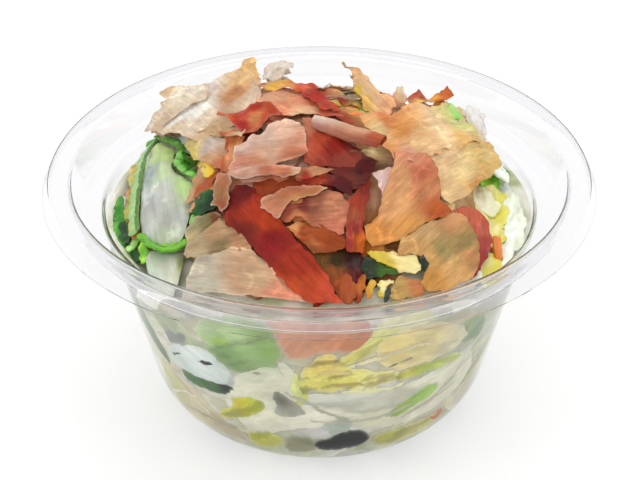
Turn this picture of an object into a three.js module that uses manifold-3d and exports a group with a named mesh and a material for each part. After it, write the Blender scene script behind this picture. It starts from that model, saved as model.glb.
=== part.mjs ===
// A clear round cup of cut pickled napa cabbage, under a heap of thin dried fish shavings.
// Millimetres, +Z up. The cup stands on z = 0 with its axis on Z, and its front faces -Y.
// An azimuth is in degrees, 0 at the front and 90 on the +X side.

import * as THREE from "three";
import { mergeVertices } from "three/addons/utils/BufferGeometryUtils.js";
import Module from "manifold-3d";

const wasm = await Module();
wasm.setup();

const MERGE_DISTANCE = 1e-3;

// ---- Cup ----------------------------------------------------------------------------------
const CUP_HEIGHT = 62.9;
const CUP_WALL = 0.8;
const BASE_RADIUS = 24;
const CORNER_RADIUS = 17.2;
const WALL_LEAN = THREE.MathUtils.degToRad(14.6);
const LEDGE_Z = 54.2;
const LEDGE_RADIUS = 56.7;
const LEDGE_DIP = 0.3;
const FLANGE_INNER_RADIUS = 58.9;
const FLANGE_OUTER_RADIUS = 62.4;
const SKIRT_RADIUS = 64.2;
const SKIRT_DROP = 4;
const CORNER_STEPS = 5;
const CUP_SIDES = 48;
const CLEAR_ROUGHNESS = 0.1;

// ---- Food ---------------------------------------------------------------------------------
// Pieces that touch keep a small gap. The room for food ends below the ledge, and goes up from there.
const GAP = 0.35;
const HEADROOM = 40;
const ROOM_LEVELS = [3, 6, 9.5];
const ROOM_TOP = LEDGE_Z - 1;
const FOOD_ROUGHNESS = 0.6;

// The top of the shavings and the top of the cabbage under them are round hills, each with a
// rim height and a rise above it, both from the flange's top.
const HILL_CENTRE = [2, 6];
const HILL_RADII = [48, 46];
const HILL_FALL = 1.2;
const HILL_POWER = 2.8;
const SHAVINGS_HILL = { rim: -13, rise: 28 };
const CABBAGE_HILL = { rim: -16, rise: 19 };

// How far the bed of shavings reaches from the axis, every 45 degrees from +X anticlockwise. It is
// thin at its edge, and elsewhere fills the space between the hills, short of the upper one.
const BED_REACH = [38, 31, 30, 36, 28, 40, 44, 43];
const BED = { edge: 1.2, sunk: 1.4, relief: 0.5, reliefSize: 4, sides: 24, rings: [0.4, 0.75, 1] };

// A shaving drapes over the hill as far as it isn't stiff. In the bed it is rooted where it lies
// close, and stands free where it rises.
const SHAVING = { thickness: 0.7, stiffness: 0.35, rounding: 0.25, ragged: 0.05, ripple: 0.3 };
const ROOT = { depth: 2.2, full: 3.5, none: 5.5 };
const LOOSE_STEPS = [7, 4];
const BED_STEPS = [5, 3];
const UNDER_STEPS = [4, 2];
const LOOSE_MARGIN = 0.044;
const BED_MARGIN = 0.06;
const UNDER_MARGIN = -0.2;
const UNDER_DROP = SHAVING.thickness + 2 * GAP;

// The core of the cabbage, a piece pressed against the wall, and a stem or leaf on top.
const CORE = { sides: 24, inset: 2.2, dent: 1, dentSize: 5, levels: [6, 15, 25, 35, 45] };
const CORE_TOP = { shares: [0.8, 0.45], relief: 0.8, reliefSize: 5 };
const WALL = { depth: 3.6, slack: 0.35, rounding: 0.7, ragged: 0.2, steps: [4, 2] };
const WALL_SCATTER = {
  count: 14, from: 62, to: 300, low: 12, high: 46, length: [16, 28], lean: 7, width: [5, 11], seed: 7,
};
const BLADE = { rounding: 0.6, ragged: 0.12, ripple: 0.5, thinning: 0.35 };
const BLADE_LONG = 14;
const BLADE_SHORT_STEPS = 5;
const BLADE_WIDTH_STEPS = 4;
const HEAP_PIECE = { thickness: 6, crown: 0.8 };
const HEAP_PIECE_STEPS = 2;

// Colours
const CLEAR = 0xe9ebef;
const CABBAGE_WHITE = 0xdde2d8;
const STEM_WHITE = 0xe4e9e6;
const LEAF_YELLOW = 0xe2dc8c;
const LEAF_GREEN = 0x2f5a26;
const CARROT = 0xe08a1e;
const SHAVING_PINK = 0xd6a68c;
const SHAVING_RED = 0xa8452e;
const SHAVING_PALE = 0xe6d3bc;
const SHAVING_TAN = 0xd9a47a;

// A shaving is a four-cornered sheet. Each corner is [x, y, lift above the hill of shavings].
// The first two corners are one long edge, and the last two run back along the other. The arch is
// its rise across the middle, and a rolled one has an underside arched the other way.
const BED_SHAVINGS = {
  fan_front: [[-38.5, 15, 3], [-21, 4, 0], [-16.5, 16, 1], [-35, 24, 4]],
  fan_tip: [[-18.5, 11, 1.5], [-13.5, 10, 1], [-14.5, 24, 8], [-18.5, 22, 6.5]],
  crown: [[-14, 3, 2], [-5.5, -2, 1.5], [-1.5, 16, 0.5], [-14, 22, 1.5]],
  crown_right: [[-5, 2, 1], [4.5, -7, 2], [6, 2, 1], [-3, 18, 1]],
  curl_red: [[-22.5, 0.5, 3], [-16.5, -7, 3.5], [-8.5, -2, 2.5], [-14.5, 6, 2]],
  dark_sheet: [[-4, -16, 2], [7, -19, 2], [12.5, -14.5, 2], [-1.5, -7, 2]],
  fold_brown: [[-24.5, -19, 2], [-21.5, -23, 2], [-20, -16, 2.5], [-25.5, -14, 2]],
  glassy_small: [[-31, -22, 1], [-29.5, -24.5, 1], [-21.5, -22.5, 1], [-25, -19, 1]],
  strip_pink: [[5.5, -35, 3], [9.5, -35, 3], [11, -19.5, 3], [9, -19.5, 3]],
  strip_grey: [[10.5, -28.5, 2], [13.5, -27.5, 1.5], [16, -17.5, 1.5], [11.5, -18, 2]],
  patch_grey: [[-8, -29, 3], [5, -31.5, 3], [6.5, -24.5, 3], [-7, -25, 3]],
  patch_orange: [[-4.5, -34, 2.5], [6, -35.5, 2.5], [5.5, -30.5, 2.5], [-7, -29.5, 2.5]],
  beige_wide: [[24, -13, 1.5], [32, -17.5, 1.5], [42.5, 4.5, 1.5], [28, 7, 1.5]],
  brown_round: [[26.5, -38, 1.5], [34, -36, 1.5], [39.5, -21.5, 1.5], [32.5, -17.5, 1.5]],
  edge_right: [[35, 9, 3], [40.5, 0.5, 1], [43.5, 6.5, 1.5], [39.5, 17, 4]],
  pale_mid: [[-31, -3, 1.5], [-21, -12, 1.5], [-20.5, -5.5, 1.5], [-31, 5, 1.5]],
  antler: [[10.5, 0, 1], [15.5, 1, 2.5], [9.5, 11, 6], [6, 12, 6.5]],
  curl_back: [[21.5, 9, 1], [28.5, 9, 3], [31.5, 13, 6], [23.5, 14, 3]],
  back_left: [[-26, 20, 1.5], [-12, 16, 1.5], [-8, 27, 2], [-22, 31, 2.5]],
  back_middle: [[-8, 18, 1.5], [6, 16, 1.5], [8, 28, 2.5], [-5, 31, 2]],
  back_right: [[8, 14, 1.5], [22, 10, 1.5], [25, 22, 2], [10, 27, 2.5]],
};
const TOP_SHAVINGS = {
  roll: {
    corners: [[-2, -9.5, 5], [12.5, -17.5, 5], [14.5, -14, 5], [0, -6.5, 5]],
    colour: SHAVING_PINK,
    arch: 2,
    underArch: -2,
  },
  pink_grey: {
    corners: [[-20, -15, 3.5], [-7.5, -16.5, 3.5], [-3, -9, 3.5], [-17, -5.5, 3.5]],
    colour: SHAVING_PINK,
    arch: 0.6,
  },
  tan_wide: {
    corners: [[10.5, -32, 3], [28, -20.5, 3], [23, -7, 3], [18, -9, 3]],
    colour: SHAVING_TAN,
    arch: 0.5,
  },
  tan_round: {
    corners: [[13, -34, 2], [24, -42.5, 2.5], [36.5, -31, 2.5], [31, -20.5, 2]],
    colour: SHAVING_TAN,
    arch: 0.8,
    rounding: 0.6,
  },
  red_diagonal: {
    corners: [[-21.5, -21.5, 2], [-3.5, -46, 2], [5, -44.5, 2], [-13.5, -20, 2]],
    colour: SHAVING_RED,
    arch: 0.4,
  },
  pale_front: {
    corners: [[-31, -28, 1], [-25.5, -42, 1], [-4, -45, 1], [-21.5, -22.5, 1]],
    colour: SHAVING_PALE,
    arch: 0.3,
  },
  crisp: {
    corners: [[8, -7, 2.5], [26, -7, 2.5], [36.5, 14, 4], [10, 3, 2]],
    colour: SHAVING_TAN,
    arch: 0.5,
  },
  fan_back: {
    corners: [[-42, 21, 5], [-15, 13, 3], [-15, 29, 7.5], [-38.5, 31, 9]],
    colour: SHAVING_PALE,
    arch: 0.8,
  },
};

// A piece of cabbage pressed against the wall runs between two spots [azimuth, z], with a width.
const WALL_PIECES = [
  { from: [-34, 47], to: [-12, 43], width: 12 },
  { from: [-50, 34], to: [-26, 28], width: 8 },
  { from: [-49, 24.5], to: [-27, 22], width: 4 },
  { from: [-36, 17], to: [-17, 22], width: 7 },
  { from: [-62, 44], to: [-44, 22], width: 5 },
  { from: [-10, 33], to: [34, 33], width: 9 },
  { from: [4, 40], to: [31, 50], width: 5 },
  { from: [16, 33], to: [48, 30], width: 4 },
  { from: [-6, 24], to: [30, 23], width: 8 },
  { from: [24, 17], to: [39, 24], width: 5 },
  { from: [-2, 11], to: [17, 11], width: 6 },
  { from: [-27, 8], to: [-11, 12], width: 6 },
  { from: [40, 43], to: [55, 35], width: 8 },
];

// Leaves and stems round the back, between the shavings and the wall: [x, y, z], [x, y, z], width.
const BACK_PIECES = [
  { from: [-42, 20, 51], to: [-24, 39, 51], width: 9, bow: 2 },
  { from: [-28, 33, 53], to: [-8, 44, 52], width: 8, bow: 2 },
  { from: [-12, 36, 55], to: [10, 40, 53], width: 9, bow: 3 },
  { from: [4, 44, 52], to: [24, 38, 53], width: 8, bow: 2 },
  { from: [18, 30, 58], to: [34, 24, 54], width: 9, bow: 3 },
  { from: [30, 35, 51], to: [44, 16, 51], width: 7, bow: 2 },
  { from: [42, 14, 50], to: [46, -8, 49], width: 7, bow: 2 },
  { from: [-46, 8, 49], to: [-45, -18, 49], width: 6, bow: 2 },
  { from: [8, -43, 53], to: [17, -38, 54], width: 5, bow: 2 },
];
const SINGLE_PIECES = {
  stem_left: {
    from: [-38, 12, 57], to: [-36, -25, 53.5], width: 12, thickness: 4, crown: 2, colour: STEM_WHITE,
  },
  stem_low_left: {
    from: [-35.5, -27.5, 51], to: [-33, -37, 48], width: 9, thickness: 3.2, crown: 1, colour: STEM_WHITE,
  },
  carrot_left: {
    from: [-45, 6, 52.5], to: [-43.5, -9, 52], width: 2.6, thickness: 2.4, crown: 0, colour: CARROT,
  },
  leaf_right: {
    from: [41, 4, 55], to: [40, -17, 53.5], width: 8, thickness: 1.6, crown: 1.5, colour: LEAF_YELLOW,
  },
  carrot_right: {
    from: [42.5, -17, 53.5], to: [40.5, -26, 52], width: 3, thickness: 2.6, crown: 0, colour: CARROT,
  },
  leaf_front: {
    from: [10, -37.5, 57.4], to: [20, -42, 54], width: 4.5, thickness: 1.2, crown: 0.5, colour: LEAF_YELLOW,
  },
  leaf_dark_front: {
    from: [5, -41.5, 55], to: [14, -44.5, 52.6], width: 4, thickness: 1.2, crown: 0.4, colour: LEAF_GREEN,
  },
};

// ---- Solids -------------------------------------------------------------------------------

function signedVolume(positions, triangles) {
  const corner = (i) => new THREE.Vector3(...positions.slice(3 * i, 3 * i + 3));
  let total = 0;
  for (let k = 0; k < triangles.length; k += 3) {
    const [a, b, c] = [corner(triangles[k]), corner(triangles[k + 1]), corner(triangles[k + 2])];
    total += a.dot(b.cross(c)) / 6;
  }
  return total;
}

// A solid from a closed geometry, with its faces turned outwards.
function solid(geometry) {
  geometry.deleteAttribute("normal");
  geometry.deleteAttribute("uv");
  const merged = mergeVertices(geometry, MERGE_DISTANCE);
  const positions = merged.getAttribute("position").array;
  const index = merged.getIndex().array;
  let triangles = [];
  for (let k = 0; k < index.length; k += 3) {
    const [a, b, c] = [index[k], index[k + 1], index[k + 2]];
    if (a !== b && b !== c && c !== a) triangles.push(a, b, c);
  }
  if (signedVolume(positions, triangles) < 0) triangles = triangles.reverse();
  const mesh = new wasm.Mesh({
    numProp: 3,
    vertProperties: new Float32Array(positions),
    triVerts: new Uint32Array(triangles),
  });
  return new wasm.Manifold(mesh);
}

// The biggest body of a solid, so that a loose scrap is dropped.
function biggest(body) {
  const bodies = body.decompose();
  return bodies.reduce((best, next) => (next.volume() > best.volume() ? next : best));
}

function meshOf(name, body, colour, roughness = FOOD_ROUGHNESS) {
  const { vertProperties, triVerts } = body.getMesh();
  const geometry = new THREE.BufferGeometry();
  geometry.setAttribute("position", new THREE.BufferAttribute(vertProperties, 3));
  geometry.setIndex(new THREE.BufferAttribute(triVerts, 1));
  geometry.computeVertexNormals();
  const material = new THREE.MeshStandardMaterial({ color: colour, roughness, metalness: 0 });
  const mesh = new THREE.Mesh(geometry, material);
  mesh.name = name;
  return mesh;
}

function facetedSolid(positions, triangles) {
  const geometry = new THREE.BufferGeometry();
  geometry.setAttribute("position", new THREE.BufferAttribute(new Float32Array(positions), 3));
  geometry.setIndex(triangles);
  return solid(geometry);
}

// A closed sheet between an upper and a lower face, both given for s and t from -1 to 1.
function sheet(upper, lower, [lengthSteps, widthSteps]) {
  const positions = [];
  const triangles = [];
  const row = widthSteps + 1;
  const face = (lengthSteps + 1) * row;
  for (const side of [upper, lower]) {
    for (let i = 0; i <= lengthSteps; i += 1) {
      for (let j = 0; j <= widthSteps; j += 1) {
        positions.push(...side((2 * i) / lengthSteps - 1, (2 * j) / widthSteps - 1));
      }
    }
  }
  for (let i = 0; i < lengthSteps; i += 1) {
    for (let j = 0; j < widthSteps; j += 1) {
      const [a, b] = [i * row + j, (i + 1) * row + j];
      const [c, d] = [b + 1, a + 1];
      triangles.push(a, b, c, a, c, d);
      triangles.push(face + a, face + c, face + b, face + a, face + d, face + c);
    }
  }
  const edge = [];
  for (let i = 0; i < lengthSteps; i += 1) edge.push(i * row);
  for (let j = 0; j < widthSteps; j += 1) edge.push(lengthSteps * row + j);
  for (let i = lengthSteps; i > 0; i -= 1) edge.push(i * row + widthSteps);
  for (let j = widthSteps; j > 0; j -= 1) edge.push(j);
  edge.forEach((a, k) => {
    const b = edge[(k + 1) % edge.length];
    triangles.push(a, face + a, face + b, a, face + b, b);
  });
  return facetedSolid(positions, triangles);
}

// A solid turned about Z, from its outline in [radius, z].
function turned(outline, sides) {
  const points = outline.map(([r, z]) => new THREE.Vector2(r, z));
  const geometry = new THREE.LatheGeometry(points, sides);
  geometry.rotateX(Math.PI / 2);
  return solid(geometry);
}

// A closed body of rings, from a pole at its bottom to a pole at its top.
function ringed(bottom, rings, top, sides) {
  const positions = [...bottom];
  for (const ring of rings) {
    for (let k = 0; k < sides; k += 1) positions.push(...ring((2 * Math.PI * k) / sides));
  }
  positions.push(...top);
  const last = 1 + rings.length * sides;
  const at = (row, k) => 1 + row * sides + (k % sides);
  const triangles = [];
  for (let k = 0; k < sides; k += 1) {
    triangles.push(0, at(0, k + 1), at(0, k));
    for (let row = 0; row + 1 < rings.length; row += 1) {
      triangles.push(at(row, k), at(row, k + 1), at(row + 1, k + 1));
      triangles.push(at(row, k), at(row + 1, k + 1), at(row + 1, k));
    }
    triangles.push(last, at(rings.length - 1, k), at(rings.length - 1, k + 1));
  }
  return facetedSolid(positions, triangles);
}

function seeded(seed) {
  let state = seed;
  return () => {
    state = (state * 1664525 + 1013904223) % 4294967296;
    return state / 4294967296;
  };
}

// A smooth unevenness between -1 and 1, from two crossing waves.
function uneven(u, v, seed) {
  return (Math.sin(2.1 * u + 1.3 * v + seed) + Math.sin(3.7 * v - 2.9 * u + 2.3 * seed)) / 2;
}

// A spot of the square from -1 to 1, with the square's corners drawn in.
function rounded(s, t, rounding) {
  return [s * Math.sqrt(1 - (rounding * t * t) / 2), t * Math.sqrt(1 - (rounding * s * s) / 2)];
}

// ---- Cup ----------------------------------------------------------------------------------

const cornerTop = CORNER_RADIUS * (1 - Math.sin(WALL_LEAN));
const wallStart = BASE_RADIUS + CORNER_RADIUS * Math.cos(WALL_LEAN);
const cupOuterRadius = (z) => wallStart + (z - cornerTop) * Math.tan(WALL_LEAN);

function cupInnerRadius(z) {
  if (z < cornerTop) {
    const reach = CORNER_RADIUS - CUP_WALL;
    const rise = CORNER_RADIUS - z;
    return BASE_RADIUS + Math.sqrt(Math.max(reach * reach - rise * rise, 0));
  }
  return cupOuterRadius(z) - CUP_WALL / Math.cos(WALL_LEAN);
}

// The underside of the cup from its axis out to the skirt's edge.
function cupUnderside() {
  const points = [[0, 0], [BASE_RADIUS, 0]];
  for (let k = 1; k <= CORNER_STEPS; k += 1) {
    const turn = -Math.PI / 2 + (k / CORNER_STEPS) * (Math.PI / 2 - WALL_LEAN);
    const r = BASE_RADIUS + CORNER_RADIUS * Math.cos(turn);
    points.push([r, CORNER_RADIUS + CORNER_RADIUS * Math.sin(turn)]);
  }
  const flangeZ = CUP_HEIGHT - CUP_WALL;
  points.push([cupOuterRadius(LEDGE_Z), LEDGE_Z]);
  points.push([LEDGE_RADIUS, LEDGE_Z - LEDGE_DIP]);
  points.push([FLANGE_INNER_RADIUS, flangeZ]);
  points.push([FLANGE_OUTER_RADIUS, flangeZ]);
  points.push([SKIRT_RADIUS, flangeZ - SKIRT_DROP]);
  return points;
}

// An open line moved to its left by a distance, with its corners kept sharp.
function movedLeft(points, distance) {
  const normals = points.slice(1).map(([r, z], k) => {
    const length = Math.hypot(r - points[k][0], z - points[k][1]);
    return [-(z - points[k][1]) / length, (r - points[k][0]) / length];
  });
  return points.map(([r, z], k) => {
    const before = normals[Math.max(k - 1, 0)];
    const after = normals[Math.min(k, normals.length - 1)];
    const sum = [before[0] + after[0], before[1] + after[1]];
    const scale = (2 * distance) / (sum[0] * sum[0] + sum[1] * sum[1]);
    return [r + sum[0] * scale, z + sum[1] * scale];
  });
}

function cup() {
  const underside = cupUnderside();
  const upside = movedLeft(underside, CUP_WALL).reverse();
  return turned([...underside, ...upside], CUP_SIDES);
}

// The room that food may take: a small gap inside the wall, and straight up from the mouth.
function room() {
  const floor = CUP_WALL + GAP;
  const levels = [floor, ...ROOM_LEVELS, cornerTop, ROOM_TOP];
  const wall = levels.map((z) => [cupInnerRadius(z) - GAP, z]);
  const top = CUP_HEIGHT + HEADROOM;
  const mouth = cupInnerRadius(ROOM_TOP) - GAP;
  return turned([[0, floor], ...wall, [mouth, top], [0, top]], CUP_SIDES);
}

// ---- Hills of food ------------------------------------------------------------------------

function hill(shape, x, y) {
  const r = Math.hypot((x - HILL_CENTRE[0]) / HILL_RADII[0], (y - HILL_CENTRE[1]) / HILL_RADII[1]);
  return CUP_HEIGHT + shape.rim + shape.rise * Math.exp(-Math.pow(r * HILL_FALL, HILL_POWER));
}

function bedReach(angle) {
  const place = ((angle / (2 * Math.PI)) * BED_REACH.length + BED_REACH.length) % BED_REACH.length;
  const k = Math.floor(place);
  const blend = (1 - Math.cos(Math.PI * (place - k))) / 2;
  return BED_REACH[k] * (1 - blend) + BED_REACH[(k + 1) % BED_REACH.length] * blend;
}

// The bed of shavings, raised off the cabbage. Grown wider and higher, it is the room kept for it.
function bed({ raise = 0, grow = 0, height = 0 }) {
  const underside = (x, y) => hill(CABBAGE_HILL, x, y) + raise;
  const thickness = (x, y, share) => {
    if (share === 1) return BED.edge;
    const relief = BED.relief * uneven(x / BED.reliefSize, y / BED.reliefSize, 1);
    const between = hill(SHAVINGS_HILL, x, y) - hill(CABBAGE_HILL, x, y);
    return Math.max(between - BED.sunk + relief, BED.edge);
  };
  const ring = (share, isUpper) => (angle) => {
    const reach = bedReach(angle) * share + grow;
    const [x, y] = [reach * Math.cos(angle), reach * Math.sin(angle)];
    return [x, y, underside(x, y) + (isUpper ? thickness(x, y, share) + height : 0)];
  };
  const rings = BED.rings.map((share) => ring(share, false));
  rings.push(...[...BED.rings].reverse().map((share) => ring(share, true)));
  const low = [0, 0, underside(0, 0)];
  const high = [0, 0, hill(SHAVINGS_HILL, 0, 0) - BED.sunk + height];
  return ringed(low, rings, high, BED.sides);
}

// ---- Shavings -----------------------------------------------------------------------------

// One coordinate of a spot between four corners.
function mix(corners, axis, s, t) {
  const [a, b] = [(1 + s) / 2, (1 + t) / 2];
  const near = corners[0][axis] * (1 - a) + corners[1][axis] * a;
  const far = corners[3][axis] * (1 - a) + corners[2][axis] * a;
  return near * (1 - b) + far * b;
}

// A spot on a shaving: draped over the hill in part, with rounded corners and an uneven edge.
function shavingSpot(corners, s0, t0, options) {
  const { arch = 0, rounding = SHAVING.rounding, seed, grow = 0, drop = 0 } = options;
  const wide = 1 + grow + SHAVING.ragged * uneven(4 * t0, 4 * s0, seed);
  const [s, t] = rounded(s0, t0, rounding).map((value) => value * wide);
  const [x, y, lift] = [mix(corners, 0, s, t), mix(corners, 1, s, t), mix(corners, 2, s, t)];
  const flat = corners.map(([cx, cy, cl]) => [0, 0, hill(SHAVINGS_HILL, cx, cy) + cl]);
  const draped = hill(SHAVINGS_HILL, x, y) + lift;
  const held = draped * (1 - SHAVING.stiffness) + mix(flat, 2, s, t) * SHAVING.stiffness;
  return [x, y, held - drop + arch * (1 - t * t) + SHAVING.ripple * uneven(2 * s, 2 * t, seed)];
}

// A loose shaving. With a clearance it is the room that it needs about itself.
function looseShaving(corners, options, clearance = 0) {
  const grow = clearance > 0 ? LOOSE_MARGIN : 0;
  const { arch, underArch = arch } = options;
  const face = (arched, drop) => (s, t) => {
    return shavingSpot(corners, s, t, { ...options, arch: arched, grow, drop });
  };
  const depth = SHAVING.thickness + clearance;
  return sheet(face(arch, -clearance), face(underArch, depth), LOOSE_STEPS);
}

// A shaving of the bed, rooted in it where it lies close.
function bedShaving(corners, options, steps = BED_STEPS) {
  const upper = (s, t) => shavingSpot(corners, s, t, options);
  const lower = (s, t) => {
    const [x, y, z] = upper(s, t);
    const above = z - hill(SHAVINGS_HILL, x, y);
    const held = THREE.MathUtils.clamp((ROOT.none - above) / (ROOT.none - ROOT.full), 0, 1);
    return [x, y, z - SHAVING.thickness - held * Math.max(above + ROOT.depth, 0)];
  };
  return sheet(upper, lower, steps);
}

// The room above a shaving and just below it, which cabbage keeps out of.
function shavingColumn(corners, options) {
  const spot = (s, t) => shavingSpot(corners, s, t, { ...options, grow: BED_MARGIN });
  const upper = (s, t) => {
    const [x, y] = spot(s, t);
    return [x, y, CUP_HEIGHT + HEADROOM];
  };
  const lower = (s, t) => {
    const [x, y, z] = spot(s, t);
    const rooted = Math.min(z, hill(SHAVINGS_HILL, x, y) - ROOT.depth);
    return [x, y, rooted - SHAVING.thickness - GAP];
  };
  return sheet(upper, lower, BED_STEPS);
}

// ---- Cabbage ------------------------------------------------------------------------------

function cabbageCore() {
  const wall = CORE.levels.map((z) => (angle) => {
    const dent = CORE.dent * uneven(3 * angle, z / CORE.dentSize, 4);
    const r = cupInnerRadius(z) - CORE.inset + dent;
    return [r * Math.cos(angle), r * Math.sin(angle), z];
  });
  const shoulder = cupInnerRadius(CORE.levels.at(-1)) - CORE.inset;
  const top = CORE_TOP.shares.map((share) => (angle) => {
    const [x, y] = [shoulder * share * Math.cos(angle), shoulder * share * Math.sin(angle)];
    const relief = CORE_TOP.relief * uneven(x / CORE_TOP.reliefSize, y / CORE_TOP.reliefSize, 2);
    return [x, y, hill(CABBAGE_HILL, x, y) + relief];
  });
  const floor = CUP_WALL + GAP;
  const foot = (angle) => [BASE_RADIUS * Math.cos(angle), BASE_RADIUS * Math.sin(angle), floor];
  const peak = [0, 0, hill(CABBAGE_HILL, 0, 0)];
  return ringed([0, 0, floor], [foot, ...wall, ...top], peak, CORE.sides);
}

// A piece flat against the wall, from its outer face to one sunk in the core.
function wallPiece({ from, to, width }, seed) {
  const middleRadius = cupInnerRadius((from[1] + to[1]) / 2);
  const start = THREE.MathUtils.degToRad(from[0]);
  const run = THREE.MathUtils.degToRad(to[0] - from[0]) * middleRadius;
  const rise = to[1] - from[1];
  const length = Math.hypot(run, rise);
  const face = (depth) => (s0, t0) => {
    const [s, t] = rounded(s0, t0, WALL.rounding);
    const along = (1 + s) / 2;
    const across = (width / 2) * t * (1 + WALL.ragged * uneven(3 * s, t, seed));
    const z = from[1] + rise * along + (across * run) / length;
    const azimuth = start + (run * along - (across * rise) / length) / middleRadius;
    const r = cupInnerRadius(z) - GAP - depth;
    return [r * Math.sin(azimuth), -r * Math.cos(azimuth), z];
  };
  return sheet(face(WALL.slack), face(WALL.depth), WALL.steps);
}

// Pieces round the rest of the wall, at three heights in turn.
function scatteredWallPieces() {
  const random = seeded(WALL_SCATTER.seed);
  const between = ([least, most]) => least + (most - least) * random();
  const { count, from, to, low, high, length, lean, width } = WALL_SCATTER;
  const rise = (high - low) / 2;
  const pieces = [];
  for (let k = 0; k < count; k += 1) {
    const azimuth = from + ((to - from) / count) * k;
    const z = low + rise * ((k % 3) + between([-0.3, 0.3]));
    const end = [azimuth + between(length), z + between([-lean, lean])];
    pieces.push({ from: [azimuth, z], to: end, width: between(width) });
  }
  return pieces;
}

// A stem or leaf from one spot to another, arched across its width. Grown, it is the room it needs.
function blade(piece, seed, grow = 0, widthSteps = BLADE_WIDTH_STEPS) {
  const { from, to, width, thickness, crown, bow = 0 } = piece;
  const [start, end] = [new THREE.Vector3(...from), new THREE.Vector3(...to)];
  const length = start.distanceTo(end);
  const along = end.clone().sub(start).normalize();
  const across = new THREE.Vector3(0, 0, 1).cross(along).normalize();
  const middle = start.clone().add(end).multiplyScalar(0.5);
  const half = width / 2 + grow;
  const face = (depthAt) => (s0, t0) => {
    const [s, t] = rounded(s0, t0, BLADE.rounding);
    const edge = half * t * (1 + BLADE.ragged * uneven(5 * s, t, seed));
    const ripple = BLADE.ripple * uneven(4 * s, 3 * t, seed);
    const place = middle.clone().addScaledVector(along, s * (length / 2 + grow));
    place.addScaledVector(across, edge);
    place.z += crown * (1 - t * t) + bow * (1 - s * s) + ripple - depthAt(t0);
    return place.toArray();
  };
  const lengthSteps = length > BLADE_LONG ? 2 * widthSteps : BLADE_SHORT_STEPS;
  const bottom = (t) => thickness * (1 - BLADE.thinning * t * t) + grow;
  return sheet(face(() => -grow), face(bottom), [lengthSteps, widthSteps]);
}

// A piece of the heap at the back or front, deep enough to stand on the core.
function heapPiece(piece, seed) {
  return blade({ ...piece, ...HEAP_PIECE }, seed, 0, HEAP_PIECE_STEPS);
}

// ---- Assembly -----------------------------------------------------------------------------

const union = (bodies) => bodies.reduce((whole, next) => whole.add(next));
const without = (body, others) => others.reduce((rest, other) => rest.subtract(other), body);

const inside = room();
const bedEntries = Object.entries(BED_SHAVINGS);
const topEntries = Object.entries(TOP_SHAVINGS);
const singleEntries = Object.entries(SINGLE_PIECES);

const columns = [
  ...bedEntries.map(([, corners], seed) => shavingColumn(corners, { seed })),
  ...topEntries.map(([, { corners, ...shape }], seed) => {
    return shavingColumn(corners, { ...shape, seed, drop: UNDER_DROP });
  }),
  bed({ grow: GAP, height: HEADROOM }),
];

function topShavings() {
  const done = [];
  const meshes = topEntries.map(([name, { corners, colour, ...shape }], seed) => {
    const options = { ...shape, seed };
    const body = biggest(without(looseShaving(corners, options).intersect(inside), done));
    done.push(looseShaving(corners, options, GAP));
    return meshOf(`shaving_${name}`, body, colour);
  });
  return { meshes, rooms: done };
}

// The bed with its own shavings, and smaller ones that carry the loose shavings.
function shavingsBed(rooms) {
  const shavings = bedEntries.map(([, corners], seed) => bedShaving(corners, { seed }));
  topEntries.forEach(([, { corners, arch, rounding }], seed) => {
    const under = { arch, rounding, seed, grow: UNDER_MARGIN, drop: UNDER_DROP };
    shavings.push(bedShaving(corners, under, UNDER_STEPS));
  });
  const body = union([bed({ raise: GAP }), ...shavings]).intersect(inside);
  return meshOf("shavings_heap", biggest(without(body, rooms)), SHAVING_PINK);
}

function singlePieces() {
  const done = [];
  const meshes = singleEntries.map(([name, piece], seed) => {
    const body = without(blade(piece, seed).intersect(inside), [...columns, ...done]);
    done.push(blade(piece, seed, GAP));
    return meshOf(name, biggest(body), piece.colour);
  });
  return { meshes, rooms: done };
}

function cabbageHeap(rooms) {
  const pieces = [...WALL_PIECES, ...scatteredWallPieces()].map(wallPiece);
  pieces.push(...BACK_PIECES.map(heapPiece));
  const body = union([cabbageCore(), ...pieces]).intersect(inside);
  return meshOf("cabbage_heap", biggest(without(body, [...columns, ...rooms])), CABBAGE_WHITE);
}

const group = new THREE.Group();
group.add(meshOf("cup", cup(), CLEAR, CLEAR_ROUGHNESS));
const top = topShavings();
group.add(shavingsBed(top.rooms), ...top.meshes);
const singles = singlePieces();
group.add(cabbageHeap(singles.rooms), ...singles.meshes);

export default group;
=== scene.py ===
import math

import bpy
import numpy as np
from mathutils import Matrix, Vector
from mathutils.geometry import delaunay_2d_cdt


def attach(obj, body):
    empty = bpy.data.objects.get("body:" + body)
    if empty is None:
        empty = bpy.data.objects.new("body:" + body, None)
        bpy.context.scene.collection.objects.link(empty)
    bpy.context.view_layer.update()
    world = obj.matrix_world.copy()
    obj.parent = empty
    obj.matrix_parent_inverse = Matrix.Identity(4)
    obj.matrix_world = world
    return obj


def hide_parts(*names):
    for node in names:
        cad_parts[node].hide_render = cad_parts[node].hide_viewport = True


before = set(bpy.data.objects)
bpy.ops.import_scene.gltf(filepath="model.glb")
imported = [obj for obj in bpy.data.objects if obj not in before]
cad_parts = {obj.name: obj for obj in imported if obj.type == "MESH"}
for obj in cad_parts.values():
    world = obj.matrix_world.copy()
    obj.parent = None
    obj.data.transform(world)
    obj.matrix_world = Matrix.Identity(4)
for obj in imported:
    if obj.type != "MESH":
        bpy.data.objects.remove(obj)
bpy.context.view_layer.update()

# Sizes are in millimetres until a mesh is made. The cup's axis is Z and its front faces -Y. An azimuth
# is in degrees, 0 at the front and 90 on the +X side.
MM = 0.001

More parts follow.
